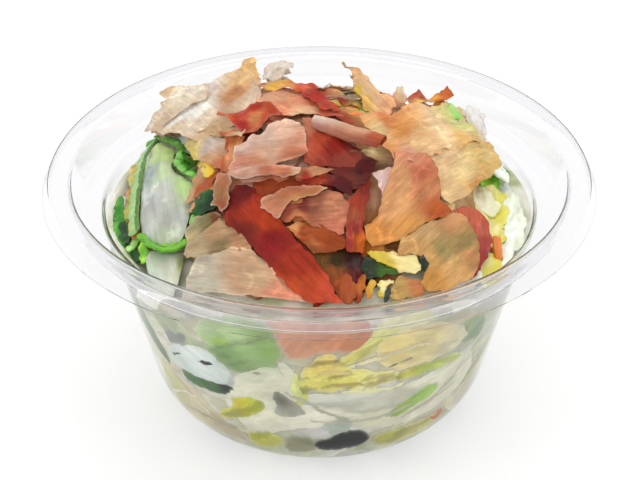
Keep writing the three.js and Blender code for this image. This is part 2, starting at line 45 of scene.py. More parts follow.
# ---- Sizes shared with the solids -----------------------------------------------------------------
CUP_HEIGHT = 62.9
CUP_WALL = 0.8
BASE_RADIUS = 24
CORNER_RADIUS = 17.2
WALL_LEAN = math.radians(14.6)
LEDGE_Z = 54.2
LEDGE_RADIUS = 56.7
LEDGE_DIP = 0.3
FLANGE_INNER_RADIUS = 58.9
FLANGE_OUTER_RADIUS = 62.4
SKIRT_RADIUS = 64.2
SKIRT_DROP = 4
FLANGE_Z = CUP_HEIGHT - CUP_WALL

# A hill of food is (its foot over the rim, its height), in the shape that the next four numbers give
HILL_CENTRE = (2, 6)
HILL_RADII = (48, 46)
HILL_FALL = 1.2
HILL_POWER = 2.8
SHAVINGS_HILL = (-13, 28)
CABBAGE_HILL = (-16, 19)
# How far the shavings reach from the axis, each 45 degrees anticlockwise from +X
BED_REACH = (36, 28, 23, 27, 24, 39, 44, 43)
# Where the cabbage leaves the wall, and the highest that a piece pressed against the wall goes
CABBAGE_EDGE = 51.5
WALL_PIECE_TOP = 53.4
WALL_PIECE_THICKNESS = 0.7
# How many millimetres of the wall one degree takes, halfway up
ARC = 0.82

# ---- View and light -------------------------------------------------------------------------------
CAMERA_PLACE = (0.16, -423.2, 308.6)
CAMERA_PITCH = 32.17
CAMERA_LENS = 117.5
FLOOR_SIZE = 30
FLOOR_WHITE = 0.44
FLOOR_GLOW = 0.54
STUDIO_LIGHT = 0.93
LAMP_AIM = (0, 0, 0.05)
CLEAR_TINT = (0.93, 0.926, 0.94, 1)

# The white that the gloss of wet and dry food adds to its colour, and the share of its colour it leaves
GLOSS_WHITE = 0.014
GLOSS_SHARE = 0.86

# The light that the wall of the cup adds and the share it lets through, to and from what lies against it
WALL_GLARE = 0.03
WALL_LIGHT = 0.74
WALL_HAZE = np.array([0.8, 0.8, 0.68])


# ---- Numbers --------------------------------------------------------------------------------------

def rgb(red, green, blue):
    """A linear colour from its usual numbers, 0 to 255."""
    return np.array([((c / 255 + 0.055) / 1.055) ** 2.4 for c in (red, green, blue)])


def paint_for(red, green, blue):
    """The paint that looks like a colour, 0 to 255, once it is lit: the gloss adds a little white."""
    return np.clip((rgb(red, green, blue) - GLOSS_WHITE) / GLOSS_SHARE, 0.002, 1)


def blend(a, b, share):
    """a where share is 0 and b where it is 1, for single colours or one for each spot."""
    share = np.clip(share, 0, 1)
    if np.ndim(share):
        share = share[:, None]
    return np.asarray(a) * (1 - share) + np.asarray(b) * share


def smooth(low, high, value):
    """From 0 at low to 1 at high, with soft ends."""
    share = np.clip((value - low) / (high - low), 0, 1)
    return share * share * (3 - 2 * share)


def opaque(colour):
    """A tint, with nothing see-through, for each colour."""
    return np.concatenate([colour, np.ones((len(colour), 1))], 1)


def lattice(x, y, seed):
    """A repeatable number from 0 to 1 for each spot of whole numbers."""
    n = (x * 374761393 + y * 668265263 + seed * 974634777) & 0xFFFFFFFF
    n = ((n ^ (n >> 13)) * 1274126177) & 0xFFFFFFFF
    return ((n ^ (n >> 16)) & 0xFFFF) / 65535


def noise(x, y, seed):
    """Smooth noise from -1 to 1, with one hill or so for each unit."""
    x, y = np.broadcast_arrays(np.asarray(x, float), np.asarray(y, float))
    ix, iy = np.floor(x).astype(np.int64), np.floor(y).astype(np.int64)
    fx, fy = smooth(0, 1, x - ix), smooth(0, 1, y - iy)
    low = lattice(ix, iy, seed) * (1 - fx) + lattice(ix + 1, iy, seed) * fx
    high = lattice(ix, iy + 1, seed) * (1 - fx) + lattice(ix + 1, iy + 1, seed) * fx
    return 2 * (low * (1 - fy) + high * fy) - 1


def fractal(x, y, seed, octaves=4):
    """Noise with finer and fainter noise on top of it."""
    total = 0
    for k in range(octaves):
        total = total + noise(x * 2**k, y * 2**k, seed + 17 * k) * 0.5**k
    return total / 1.6


# ---- Meshes ---------------------------------------------------------------------------------------

def normals_of(points, faces):
    """The surface's unit normal at each point."""
    corners = points[faces]
    crossed = np.cross(corners[:, 1] - corners[:, 0], corners[:, 2] - corners[:, 0])
    normals = np.zeros_like(points)
    for k in range(3):
        np.add.at(normals, faces[:, k], crossed)
    return normals / np.maximum(np.linalg.norm(normals, axis=1), 1e-9)[:, None]


def edges_of(faces):
    """The directed edges that only one triangle has."""
    directed = np.concatenate([faces[:, [0, 1]], faces[:, [1, 2]], faces[:, [2, 0]]])
    keys = np.sort(directed, axis=1)
    _, index, count = np.unique(keys, axis=0, return_index=True, return_counts=True)
    return directed[index[count == 1]]


def shell(points, faces, thickness, tint, flat, outward=(0, 0, 1)):
    """A closed thin body under a surface, as (points, faces, tint, flat)."""
    if (normals_of(points, faces) * outward).sum() < 0:
        faces = faces[:, ::-1]
    below = points - normals_of(points, faces) * np.reshape(thickness, (-1, 1))
    count = len(points)
    a, b = edges_of(faces).T
    sides = np.concatenate([np.stack([b, a, a + count], 1), np.stack([b, a + count, b + count], 1)])
    whole = np.concatenate([faces, faces[:, ::-1] + count, sides])
    points = np.concatenate([points, below])
    return points, whole, np.concatenate([tint, tint]), np.concatenate([flat, flat])


def tube(rings, tint, flat):
    """A closed body from rings of points (rows, sides, 3), whose first and last rows are single spots."""
    rows, sides = rings.shape[:2]
    k = np.arange(sides)
    after = (k + 1) % sides
    faces = []
    for row in range(rows - 1):
        a, b = row * sides, (row + 1) * sides
        if row > 0:
            faces.append(np.stack([a + k, a + after, b + after], 1))
        if row < rows - 2:
            faces.append(np.stack([a + k, b + after, b + k], 1))
    faces[0] = np.stack([0 * k, sides + after, sides + k], 1)
    last = (rows - 1) * sides
    faces[-1] = np.stack([last - sides + k, last - sides + after, 0 * k + last], 1)
    points, faces = rings.reshape(-1, 3), np.concatenate(faces)
    corners = points[faces]
    if (corners[:, 0] * np.cross(corners[:, 1], corners[:, 2])).sum() < 0:
        faces = faces[:, ::-1]
    used, faces = np.unique(faces, return_inverse=True)
    return points[used], faces.reshape(-1, 3), tint.reshape(-1, 4)[used], flat.reshape(-1, 2)[used]


def joined(bodies):
    """Several bodies as one."""
    start = np.cumsum([0] + [len(b[0]) for b in bodies[:-1]])
    faces = np.concatenate([b[1] + s for b, s in zip(bodies, start)])
    points, tint, flat = (np.concatenate([b[k] for b in bodies]) for k in (0, 2, 3))
    return points, faces, tint, flat


def piece(name, body, material, slot, *nodes):
    """A mesh object of a body, riding on the root, in place of the named nodes."""
    points, faces, tint, flat = body
    mesh = bpy.data.meshes.new(name)
    mesh.vertices.add(len(points))
    mesh.vertices.foreach_set("co", (points * MM).ravel())
    mesh.loops.add(3 * len(faces))
    mesh.loops.foreach_set("vertex_index", faces.ravel())
    mesh.polygons.add(len(faces))
    mesh.polygons.foreach_set("loop_start", np.arange(0, 3 * len(faces), 3))
    mesh.update(calc_edges=True)
    mesh.polygons.foreach_set("use_smooth", np.ones(len(faces), bool))
    mesh.set_sharp_from_angle(angle=math.radians(55))
    colours = mesh.color_attributes.new("tint", "FLOAT_COLOR", "POINT")
    colours.data.foreach_set("color", tint.astype(np.float32).ravel())
    layer = mesh.uv_layers.new(name="flat")
    layer.data.foreach_set("uv", flat[faces.ravel()].astype(np.float32).ravel())
    mesh.materials.append(material)
    mesh.validate()
    thing = bpy.data.objects.new(name, mesh)
    bpy.context.scene.collection.objects.link(thing)
    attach(thing, "root")
    if nodes:
        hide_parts(*nodes)
    return thing


def left_of(run):
    """The unit vector to the left of each of some flat vectors."""
    return np.stack([-run[:, 1], run[:, 0]], 1) / np.maximum(np.linalg.norm(run, axis=1), 1e-9)[:, None]


def walked(line):
    """How far along a line each of its points is."""
    return np.concatenate([[0], np.cumsum(np.linalg.norm(np.diff(line, axis=0), axis=1))])


def edge_distance(points, outline):
    """How far each point is from a closed outline."""
    a = outline
    b = np.roll(outline, -1, axis=0)
    run = b - a
    best = np.full(len(points), np.inf)
    for start in range(0, len(points), 2000):
        part = points[start:start + 2000]
        away = part[:, None] - a[None]
        share = np.clip((away * run).sum(2) / np.maximum((run * run).sum(1), 1e-12), 0, 1)
        best[start:start + 2000] = np.linalg.norm(away - share[..., None] * run, axis=2).min(1)
    return best


def inside(points, outline):
    """Whether each point is inside a closed outline."""
    x, y = points[:, 0, None], points[:, 1, None]
    ax, ay = outline.T
    bx, by = np.roll(outline, -1, axis=0).T
    crosses = (ay > y) != (by > y)
    with np.errstate(divide="ignore", invalid="ignore"):
        at = ax + (y - ay) * (bx - ax) / (by - ay)
    return (crosses & (x < at)).sum(1) % 2 == 1


def filled(outline, spacing, seed):
    """Points and triangles that fill an outline, and each point's distance from it."""
    low, high = outline.min(0), outline.max(0)
    x, y = np.meshgrid(np.arange(low[0], high[0], spacing), np.arange(low[1], high[1], spacing))
    x, y = x.ravel(), y.ravel()
    x = x + 0.35 * spacing * noise(x * 7.7, y * 5.3, seed)
    y = y + 0.35 * spacing * noise(x * 6.1, y * 8.9, seed + 1)
    grid = np.stack([x, y], 1)
    grid = grid[inside(grid, outline)]
    away = edge_distance(grid, outline)
    kept = away > 0.5 * spacing
    given = np.concatenate([outline, grid[kept]])
    ring = [(k, (k + 1) % len(outline)) for k in range(len(outline))]
    found = delaunay_2d_cdt([Vector(p) for p in given.tolist()], ring, [], 1, 1e-4)
    points = np.array([tuple(p) for p in found[0]])
    faces = np.array([f for f in found[2] if len(f) == 3])
    return points, faces, edge_distance(points, outline)


def loop(corners, ragged, seed, step, soft=2):
    """A closed outline through corners rounded off by soft steps, a little uneven."""
    line = np.array(corners, float)
    for _ in range(soft):
        after = np.roll(line, -1, axis=0)
        line = np.stack([0.75 * line + 0.25 * after, 0.25 * line + 0.75 * after], 1).reshape(-1, 2)
    closed = np.concatenate([line, line[:1]])
    walk = walked(closed)
    at = np.linspace(0, walk[-1], max(int(walk[-1] / step), 8), False)
    even = np.stack([np.interp(at, walk, closed[:, k]) for k in range(2)], 1)
    inward = left_of(np.roll(even, -1, axis=0) - np.roll(even, 1, axis=0))
    uneven = fractal(at / 2.2, at * 0 + 5, seed) + 0.6 * fractal(at / 0.9, at * 0 + 8, seed + 3, 2)
    torn = np.maximum(fractal(at / 2.8, at * 0 + 2, seed + 5) - 0.3, 0)
    return even + inward * (ragged * (uneven + 1.6 * torn))[:, None]


def rounded(s, t, rounding):
    """A spot of the square from -1 to 1, with the square's corners drawn in."""
    return s * np.sqrt(1 - rounding * t * t / 2), t * np.sqrt(1 - rounding * s * s / 2)


def four_sided(length, width, rounding, ragged, seed, step=0.4):
    """The outline of a torn sheet, in millimetres, with its middle at (0, 0)."""
    along, across = max(int(length / step), 6), max(int(width / step), 4)
    there, up = np.linspace(-1, 1, along, False), np.linspace(-1, 1, across, False)
    s = np.concatenate([there, np.ones(across), -there, -np.ones(across)])
    t = np.concatenate([-np.ones(along), up, np.ones(along), -up])
    s, t = rounded(s, t, rounding)
    points = np.stack([s * length / 2, t * width / 2], 1)
    walk = np.cumsum(np.linalg.norm(points - np.roll(points, 1, axis=0), axis=1))
    inward = left_of(np.roll(points, -1, axis=0) - np.roll(points, 1, axis=0))
    notch = np.maximum(fractal(walk / 2.6, walk * 0, seed, 5) - 0.15, 0)
    depth = ragged * (0.5 * fractal(walk / 1.1, walk * 0 + 9, seed + 3, 4) + 1.6 * notch)
    return points + inward * depth[:, None]


# ---- Hills of food ----------------------------------------------------------------------------------

def hill(shape, x, y):
    """The height of a hill of food over each spot."""
    r = np.hypot((x - HILL_CENTRE[0]) / HILL_RADII[0], (y - HILL_CENTRE[1]) / HILL_RADII[1])
    return CUP_HEIGHT + shape[0] + shape[1] * np.exp(-((r * HILL_FALL) ** HILL_POWER))


def bed_top(x, y):
    """The top of the heap of crumbs: the shavings' hill, lower at its back."""
    return hill(SHAVINGS_HILL, x, y) - 4 * smooth(2, 14, np.asarray(y, float))


def cabbage_top(x, y):
    """The top of the cut cabbage."""
    return hill(CABBAGE_HILL, x, y) - 1.4


def bed_reach(angle):
    """How far from the axis the shavings reach, at an angle from +X."""
    place = (angle / (2 * math.pi) * len(BED_REACH)) % len(BED_REACH)
    k = np.floor(place).astype(int)
    share = (1 - np.cos(np.pi * (place - k))) / 2
    reach = np.array(BED_REACH, float)
    return reach[k] * (1 - share) + reach[(k + 1) % len(BED_REACH)] * share


# ---- Cup --------------------------------------------------------------------------------------------

corner_top = CORNER_RADIUS * (1 - math.sin(WALL_LEAN))
wall_start = BASE_RADIUS + CORNER_RADIUS * math.cos(WALL_LEAN)


def outer_radius(z):
    """The radius of the wall's outer face, over the rounded corner."""
    return wall_start + (z - corner_top) * math.tan(WALL_LEAN)


def inner_radius(z):
    """The radius of the wall's inner face, from the base to the ledge."""
    z = np.asarray(z, float)
    reach = CORNER_RADIUS - CUP_WALL
    low = BASE_RADIUS + np.sqrt(np.maximum(reach**2 - (CORNER_RADIUS - z) ** 2, 0))
    return np.where(z < corner_top, low, outer_radius(z) - CUP_WALL / math.cos(WALL_LEAN))


def softened(points, radius, steps=4):
    """An open line with its corners rounded off."""
    points = [np.array(p, float) for p in points]
    line = [points[0]]
    for before, corner, after in zip(points, points[1:], points[2:]):
        cut = min(radius, np.linalg.norm(corner - before) * 0.45, np.linalg.norm(after - corner) * 0.45)
        start = corner + (before - corner) / np.linalg.norm(before - corner) * cut
        end = corner + (after - corner) / np.linalg.norm(after - corner) * cut
        for k in range(steps + 1):
            share = k / steps
            line.append((1 - share) ** 2 * start + 2 * share * (1 - share) * corner + share**2 * end)
    line.append(points[-1])
    return np.array(line)


def cup_underside():
    """The outer face of the cup as a line [radius, z], from the base's middle to the skirt's edge."""
    points = [(0, 0), (BASE_RADIUS, 0)]
    steps = 14
    for k in range(1, steps + 1):
        turn = -math.pi / 2 + k / steps * (math.pi / 2 - WALL_LEAN)
        points.append((BASE_RADIUS + CORNER_RADIUS * math.cos(turn), CORNER_RADIUS * (1 + math.sin(turn))))
    rim = [
        points[-1],
        (outer_radius(LEDGE_Z), LEDGE_Z),
        (LEDGE_RADIUS, LEDGE_Z - LEDGE_DIP),
        (FLANGE_INNER_RADIUS, FLANGE_Z),
        (FLANGE_OUTER_RADIUS, FLANGE_Z),
        (SKIRT_RADIUS, FLANGE_Z - SKIRT_DROP),
    ]
    return np.concatenate([np.array(points[:-1], float), softened(rim, 1.1)])


def moved_left(line, distance):
    """An open line, moved sideways to its left by a distance."""
    normals = left_of(np.diff(line, axis=0))
    before = np.concatenate([normals[:1], normals])
    after = np.concatenate([normals, normals[-1:]])
    total = before + after
    return line + total * (2 * distance / (total * total).sum(1))[:, None]


def turned(line, sides):
    """A body turned about Z, from a line [radius, z] that starts and ends on the axis."""
    angle = np.arange(sides) * 2 * math.pi / sides
    r, z = line[:, 0, None], line[:, 1, None]
    rings = np.stack([r * np.cos(angle), r * np.sin(angle), z + 0 * angle], 2)
    return tube(rings, np.ones((*rings.shape[:2], 4)), rings[..., :2].copy())


# ---- Materials --------------------------------------------------------------------------------------

def new_material(name):
    """A material, its node tree and its shader."""
    material = bpy.data.materials.new(name)
    material.use_nodes = True
    tree = material.node_tree
    return material, tree, tree.nodes["Principled BSDF"]


def settle(node, **values):
    """Sets inputs by name, given as words joined by underscores, and the node's own settings."""
    for key, value in values.items():
        label = key.replace("_", " ")
        if label in node.inputs:
            node.inputs[label].default_value = value
        else:
            setattr(node, key, value)
    return node


def add(tree, kind, **values):
    """A new node with its inputs and settings."""
    return settle(tree.nodes.new(kind), **values)


def stretched_noise(tree, scale, detail):
    """Noise drawn out along the sheet: scale is (along, across), in hills for each millimetre."""
    place = add(tree, "ShaderNodeUVMap", uv_map="flat")
    sized = add(tree, "ShaderNodeVectorMath", operation="MULTIPLY")
    sized.inputs[1].default_value = (scale[0], scale[1], 1)
    tree.links.new(place.outputs[0], sized.inputs[0])
    made = add(tree, "ShaderNodeTexNoise", Scale=1, Detail=detail, Roughness=0.6, Distortion=0.6)
    tree.links.new(sized.outputs[0], made.inputs["Vector"])
    return made


def ranged(tree, source, low, high):
    """A noise's usual range, 0.3 to 0.7, moved to low and high."""
    node = add(tree, "ShaderNodeMapRange", From_Min=0.3, From_Max=0.7, To_Min=low, To_Max=high)
    tree.links.new(source, node.inputs["Value"])
    return node.outputs[0]


def tinted(tree, shader, factors):
    """The piece's own colour, times each of the factors."""
    tint = add(tree, "ShaderNodeAttribute", attribute_name="tint")
    colour = tint.outputs["Color"]
    for factor in factors:
        times = add(tree, "ShaderNodeVectorMath", operation="SCALE")
        tree.links.new(colour, times.inputs[0])
        tree.links.new(factor, times.inputs["Scale"])
        colour = times.outputs[0]
    tree.links.new(colour, shader.inputs["Base Color"])
    return tint


def bumped(tree, shader, source, strength, distance):
    """Relief from a noise, distance millimetres high."""
    bump = add(tree, "ShaderNodeBump", Strength=strength, Distance=distance * MM)
    tree.links.new(source, bump.inputs["Height"])
    tree.links.new(bump.outputs[0], shader.inputs["Normal"])


def make_shaving_material():
    """A thin dry sheet of fibres with crinkles that catch the light."""
    material, tree, shader = new_material("dried_shaving")
    fibre = stretched_noise(tree, (0.1, 1.3), 6)
    crinkle = stretched_noise(tree, (0.35, 0.8), 8)
    grain = ranged(tree, fibre.outputs[0], 0.82, 1.16)
    # The crinkle noise that raises the relief also lightens and darkens the colour: painted shade and
    # painted highlight on the crinkles.
    shade = ranged(tree, crinkle.outputs[0], 0.86, 1.12)
    tint = tinted(tree, shader, [grain, shade])
    tree.links.new(tint.outputs["Alpha"], shader.inputs["Alpha"])
    tree.links.new(ranged(tree, crinkle.outputs[0], 0.24, 0.5), shader.inputs["Roughness"])
    settle(
        shader, Specular_IOR_Level=0.2, Subsurface_Weight=0.1, Subsurface_Radius=(0.6, 0.35, 0.25),
        Subsurface_Scale=0.6 * MM,
    )
    both = add(tree, "ShaderNodeMath", operation="MULTIPLY_ADD")
    both.inputs[1].default_value = 1.6
    tree.links.new(crinkle.outputs[0], both.inputs[0])
    tree.links.new(fibre.outputs[0], both.inputs[2])
    bumped(tree, shader, both.outputs[0], 0.8, 0.4)
    return material


def make_cabbage_material(name, *, roughness, scale, radius, coat):
    """Wet cabbage: the piece's own colour, with veins along it and a gloss of brine.

    scale is that of its veins, radius how far light goes into it in millimetres, and coat how wet it
    is. What is pressed into the wall has none, and no shine of its own.
    """
    material, tree, shader = new_material(name)
    vein = stretched_noise(tree, scale, 5)
    cloud = stretched_noise(tree, (0.12, 0.12), 3)
    grain = ranged(tree, vein.outputs[0], 0.88, 1.08)
    shade = ranged(tree, cloud.outputs[0], 0.9, 1.08)
    tint = tinted(tree, shader, [grain, shade])
    dull = ranged(tree, cloud.outputs[0], roughness - 0.08, roughness + 0.1)
    tree.links.new(tint.outputs["Alpha"], shader.inputs["Alpha"])
    tree.links.new(dull, shader.inputs["Roughness"])
    settle(
        shader, Subsurface_Weight=0.35, Subsurface_Radius=(0.8, 1.0, 0.6), Subsurface_Scale=radius * MM,
        Specular_IOR_Level=0.3 if coat else 0, Coat_Weight=coat, Coat_Roughness=0.08,
    )
    bumped(tree, shader, vein.outputs[0], 0.4, 0.25)
    return material


def make_clear_material():
    """Clear thin plastic, that lets the lamps through to what is in it."""
    material, tree, shader = new_material("clear_plastic")
    settle(shader, Base_Color=CLEAR_TINT, Roughness=0.02, IOR=1.45, Transmission_Weight=1)
    path = tree.nodes.new("ShaderNodeLightPath")
    through = add(tree, "ShaderNodeBsdfTransparent", Color=CLEAR_TINT)
    choice = tree.nodes.new("ShaderNodeMixShader")
    tree.links.new(path.outputs["Is Shadow Ray"], choice.inputs[0])
    tree.links.new(shader.outputs[0], choice.inputs[1])
    tree.links.new(through.outputs[0], choice.inputs[2])
    tree.links.new(choice.outputs[0], tree.nodes["Material Output"].inputs["Surface"])
    return material


clear = make_clear_material()
dried = make_shaving_material()
stem_flesh = make_cabbage_material("stem_flesh", roughness=0.3, scale=(0.05, 0.7), radius=3.0, coat=0.3)
leaf_flesh = make_cabbage_material("leaf_flesh", roughness=0.34, scale=(0.3, 0.9), radius=0.8, coat=0.12)
wall_flesh = make_cabbage_material("wall_flesh", roughness=0.4, scale=(0.06, 0.3), radius=2.5, coat=0.0)
carrot_flesh = make_cabbage_material("carrot_flesh", roughness=0.3, scale=(0.1, 1.2), radius=2.0, coat=0.4)

# Colours, as they look in soft light
# The cream colour below is the pale edge of thin shavings: partly the thin edge's own paler tone, partly a
# painted highlight along it.
CREAM_EDGE_HIGHLIGHT = rgb(238, 222, 200)
AMBER = rgb(206, 138, 72)
ROSE = rgb(222, 160, 140)
DARK_RED = rgb(140, 44, 40)
BROWN = rgb(150, 84, 52)
WHITE_STEM = rgb(222, 228, 226)
PALE_STEM = rgb(214, 226, 208)


# ---- Sheets: shavings and leaves --------------------------------------------------------------------

def crumpled(u, v, seed, size=1.0):
    """The height of a crumpled sheet, with soft creases and fine ones, from about -1 to 1."""
    crease = 1 - 2 * np.abs(fractal(u / (9 * size), v / (6 * size), seed, 2))
    swell = fractal(u / (11 * size), v / (8 * size), seed + 4, 2)
    fine = 1 - 2 * np.abs(fractal(u / (3.4 * size), v / (2.2 * size), seed + 8, 3))
    return 0.4 * crease + 0.7 * swell + 0.22 * fine


def spread_out(places, given, values, power=1.5):
    """Values at places, mixed from the given spots' values by how near each one is."""
    away = ((places[:, None] - given[None]) ** 2).sum(2) + 0.4
    weights = away ** -power
    return (weights @ values) / weights.sum(1)[:, None]


painted = []


def sheet_body(
    corners, paint, seed, *, rest=0.7, ground=bed_top, soft=0, ragged=0.4, crumple=0.4, curl=0.5, dome=0,
    thickness=0.1, rim=None, rim_width=0.3, rim_share=0.4, clear=1.0, step=0.45, size=1.0,
):
    """A thin torn sheet inside corners [x, y, z], coloured by paint, spots [x, y, z, red, green, blue].

    It lies no lower than rest over the hill that carries it. clear is how solid each of its faces is.
    """
    corners, paint = np.array(corners, float), np.array(paint, float)
    centre = corners.mean(0)
    axes = np.linalg.svd(corners - centre)[2]
    axes[2] *= 1 if axes[2][2] > 0 else -1
    axes[1] = np.cross(axes[2], axes[0])
    plane = (corners - centre) @ axes.T
    if (plane[:, 0] * np.roll(plane[:, 1], -1) - plane[:, 1] * np.roll(plane[:, 0], -1)).sum() < 0:
        plane = plane[::-1]
    points, faces, edge = filled(loop(plane[:, :2], ragged, seed, step, soft), step, seed)
    u, v = points.T
    off = spread_out(points, plane[:, :2], plane[:, 2:])[:, 0]
    calm = smooth(-0.3, 1.5, edge)
    off = off + crumple * crumpled(u, v, seed, size) * (0.4 + 0.6 * calm) + dome * (1 - np.exp(-edge / 2))
    off = off + curl * np.exp(-((edge / 1.3) ** 2)) * (0.2 + noise(u / 3.1, v / 3.1, seed + 2))
    wander = np.stack([fractal(u / 4, v / 4, seed + 11), fractal(u / 4, v / 4, seed + 12)], 1)
    place = centre + (points + 0.3 * crumple * wander) @ axes[:2] + off[:, None] * axes[2]
    if rest is not None:
        over = place[:, 2] - ground(place[:, 0], place[:, 1]) - rest
        place[:, 2] += 0.5 * np.log1p(np.exp(-over / 0.5))
    spots = (paint[:, :3] - centre) @ axes[:2].T
    colour = spread_out(points, spots, np.array([paint_for(*c) for c in paint[:, 3:]]), 2)
    patch = fractal(u / 5, v / 3, seed + 5)
    streak = fractal(u / 9, v / 0.8, seed + 6)
    colour = colour * (1 + 0.16 * streak[:, None] + patch[:, None] * np.array([0.08, 0.16, 0.18]))
    # Thin wandering lines are painted lighter: painted highlights, as of light along fine ridges of the
    # sheet.
    line = np.exp(-((fractal(u / 8, v / 5, seed + 21, 3) / 0.05) ** 2))
    line = line * smooth(-0.3, 0.3, noise(u / 5, v / 5, seed + 22))
    colour = blend(colour, 1.6 * colour + 0.04, 0.6 * line)
    # Near its edge the sheet turns to the rim colour. By default that is a darker edge of its own colour;
    # the cream rim is partly a painted highlight along the thin edge.
    near = np.exp(-edge / rim_width) * (0.6 + 0.6 * noise(u / 1.9, v / 1.9, seed + 7))
    colour = blend(colour, colour * [0.62, 0.42, 0.36] if rim is None else rim, rim_share * near)
    solid = clear + 0.25 * (clear < 1) * fractal(u / 4, v / 2, seed + 9) + near * (1 - clear)
    tint = np.concatenate([np.clip(colour, 0, 1), np.clip(solid, 0.25, 1)[:, None]], 1)
    return shell(place, faces, thickness, tint, points + seed * 3.7, axes[2])


under_layers = []


def shaving(name, seed, corners, paint, *, slot="shaving_pink", node="shavings_heap", **shape):
    """A shaving, and as many crumpled ones under it as it takes to carry it."""
    body = sheet_body(corners, paint, seed, **shape)
    piece(name, body, dried, slot, node)
    painted.extend(paint)
    middle = np.mean(corners, axis=0)
    over = [z - bed_top(x, y) for x, y, z in corners]
    layers = int(np.mean(over) / 2.2)
    for layer in range(1, layers + 1):
        kept = 0.85 - 0.4 * layer / (layers + 1)
        lower = []
        for (x, y, z), high in zip(corners, over):
            x, y = middle[:2] + (np.array([x, y]) - middle[:2]) * kept
            lower.append([x, y, bed_top(x, y) + max(high, 0) * (1 - layer / (layers + 1))])
        under_layers.append(sheet_body(lower, paint, seed + 40 * layer, step=0.8, crumple=0.8, rest=0.3))


# ---- Pieces: stems, carrot and what lies against the wall -------------------------------------------

def stick(start, end, width, height, looks, seed, *, bow=0, taper=1.0, rough=0.25, square=0.6):
    """A cut stem or strip from start to end, crowned on top, with blunt ends.

    looks is the colour of its middle and of its two long edges. A low square makes its edges sharp.
    """
    start, end = np.array(start, float), np.array(end, float)
    run = end - start
    length = np.linalg.norm(run)
    run = run / length
    across = np.cross([0, 0, 1.0], run)
    across = across / np.linalg.norm(across)
    up = np.cross(run, across)
    cap = height * 0.45
    rows = int(2 * length)
    blunt = cap * (1 - np.cos(np.linspace(0, math.pi / 2, 6)))
    along = np.concatenate([blunt, np.linspace(cap, length - cap, rows)[1:-1], length - blunt[::-1]])
    swell = np.sqrt(np.clip(1 - (1 - np.minimum(np.minimum(along, length - along) / cap, 1)) ** 2, 0, 1))
    swell[0] = swell[-1] = 0
    sides = max(int(4 * (width + height)), 16)
    turn = np.arange(sides) * 2 * math.pi / sides
    cosine, sine = np.cos(turn), np.sin(turn)
    p = along[:, None]
    a = np.sign(cosine) * np.abs(cosine) ** square * width / 2 * (1 + (taper - 1) * p / length)
    b = np.sign(sine) * np.abs(sine) ** 0.8 * height / 2 * np.ones_like(p)
    b = b + bow * 4 * p * (length - p) / length**2
    coarse = fractal(p / 5 + 3 * cosine, 2 * sine + 0 * p, seed)
    bump = rough * (coarse + 0.6 * fractal(p / 14, a / 1.1, seed + 3))
    wide = a * swell[:, None] + bump * cosine * swell[:, None]
    tall = b * np.where(np.abs(b) > 0, swell[:, None], 1) + bump * sine * swell[:, None]
    rings = start + p[..., None] * run + wide[..., None] * across + tall[..., None] * up
    middle, one, other = looks
    side = 2 * a / width + 0.15 * fractal(p / 3, a / 2, seed + 6)
    flat_side = side.ravel()
    colour = blend(np.broadcast_to(middle, (flat_side.size, 3)), one, smooth(0.55, 0.95, flat_side))
    colour = blend(colour, other, smooth(0.55, 0.95, -flat_side))
    tone = 1 + 0.1 * fractal(p / 8, a / 3, seed + 9).ravel()
    flat = np.stack([p + 0 * a, a + 2 * b], 2) + seed * 5.3
    return tube(rings, opaque(colour * tone[:, None]), flat)


def frill(path, reach, looks, seed, *, rise=0.15, ruffle=1.0, droop=0.4, thickness=0.3, step=0.35):
    """A ruffled ribbon of leaf along a path [x, y, z], standing out reach to the right of it."""
    path = np.array(path, float)
    for _ in range(2):
        before, after = path[:-1], path[1:]
        middle = np.stack([0.75 * before + 0.25 * after, 0.25 * before + 0.75 * after], 1).reshape(-1, 3)
        path = np.concatenate([path[:1], middle, path[-1:]])
    walk = walked(path)
    wide = abs(reach)
    points, faces, edge = filled(four_sided(walk[-1], wide, 0.2, 0.5, seed, step), step, seed)
    u, v = points.T
    at = np.clip(u + walk[-1] / 2, 0, walk[-1])
    share = np.clip(v / wide + 0.5, 0, 1)
    base = np.stack([np.interp(at, walk, path[:, k]) for k in range(3)], 1)
    ahead = np.stack([np.interp(at + 1.5, walk, path[:, k]) for k in range(2)], 1)
    behind = np.stack([np.interp(at - 1.5, walk, path[:, k]) for k in range(2)], 1)
    out = -left_of(ahead - behind)
    wave = np.sin(u * 1.5 + 2.5 * noise(u / 4, 0 * u, seed)) + 0.5 * np.sin(u * 3.7 + seed)
    wave = wave + fractal(u / 2, v / 2, seed)
    place = base.copy()
    place[:, :2] += out * (reach * share * (1 + 0.25 * min(ruffle, 1) * np.cos(u * 1.9 + seed)))[:, None]
    place[:, 2] += ruffle * share * wave * 0.55 + rise * share * wide - droop * share**2 * wide
    inner, outer, tip = looks
    colour = blend(np.broadcast_to(inner, (len(u), 3)), outer, smooth(0.02, 0.4, share))
    colour = blend(colour, tip, np.exp(-edge / 0.4) * 0.7)
    colour = colour * (1 + 0.25 * fractal(u / 1.6, v / 1.2, seed + 7))[:, None]
    return shell(place, faces, thickness, opaque(colour), points + seed * 2.9)


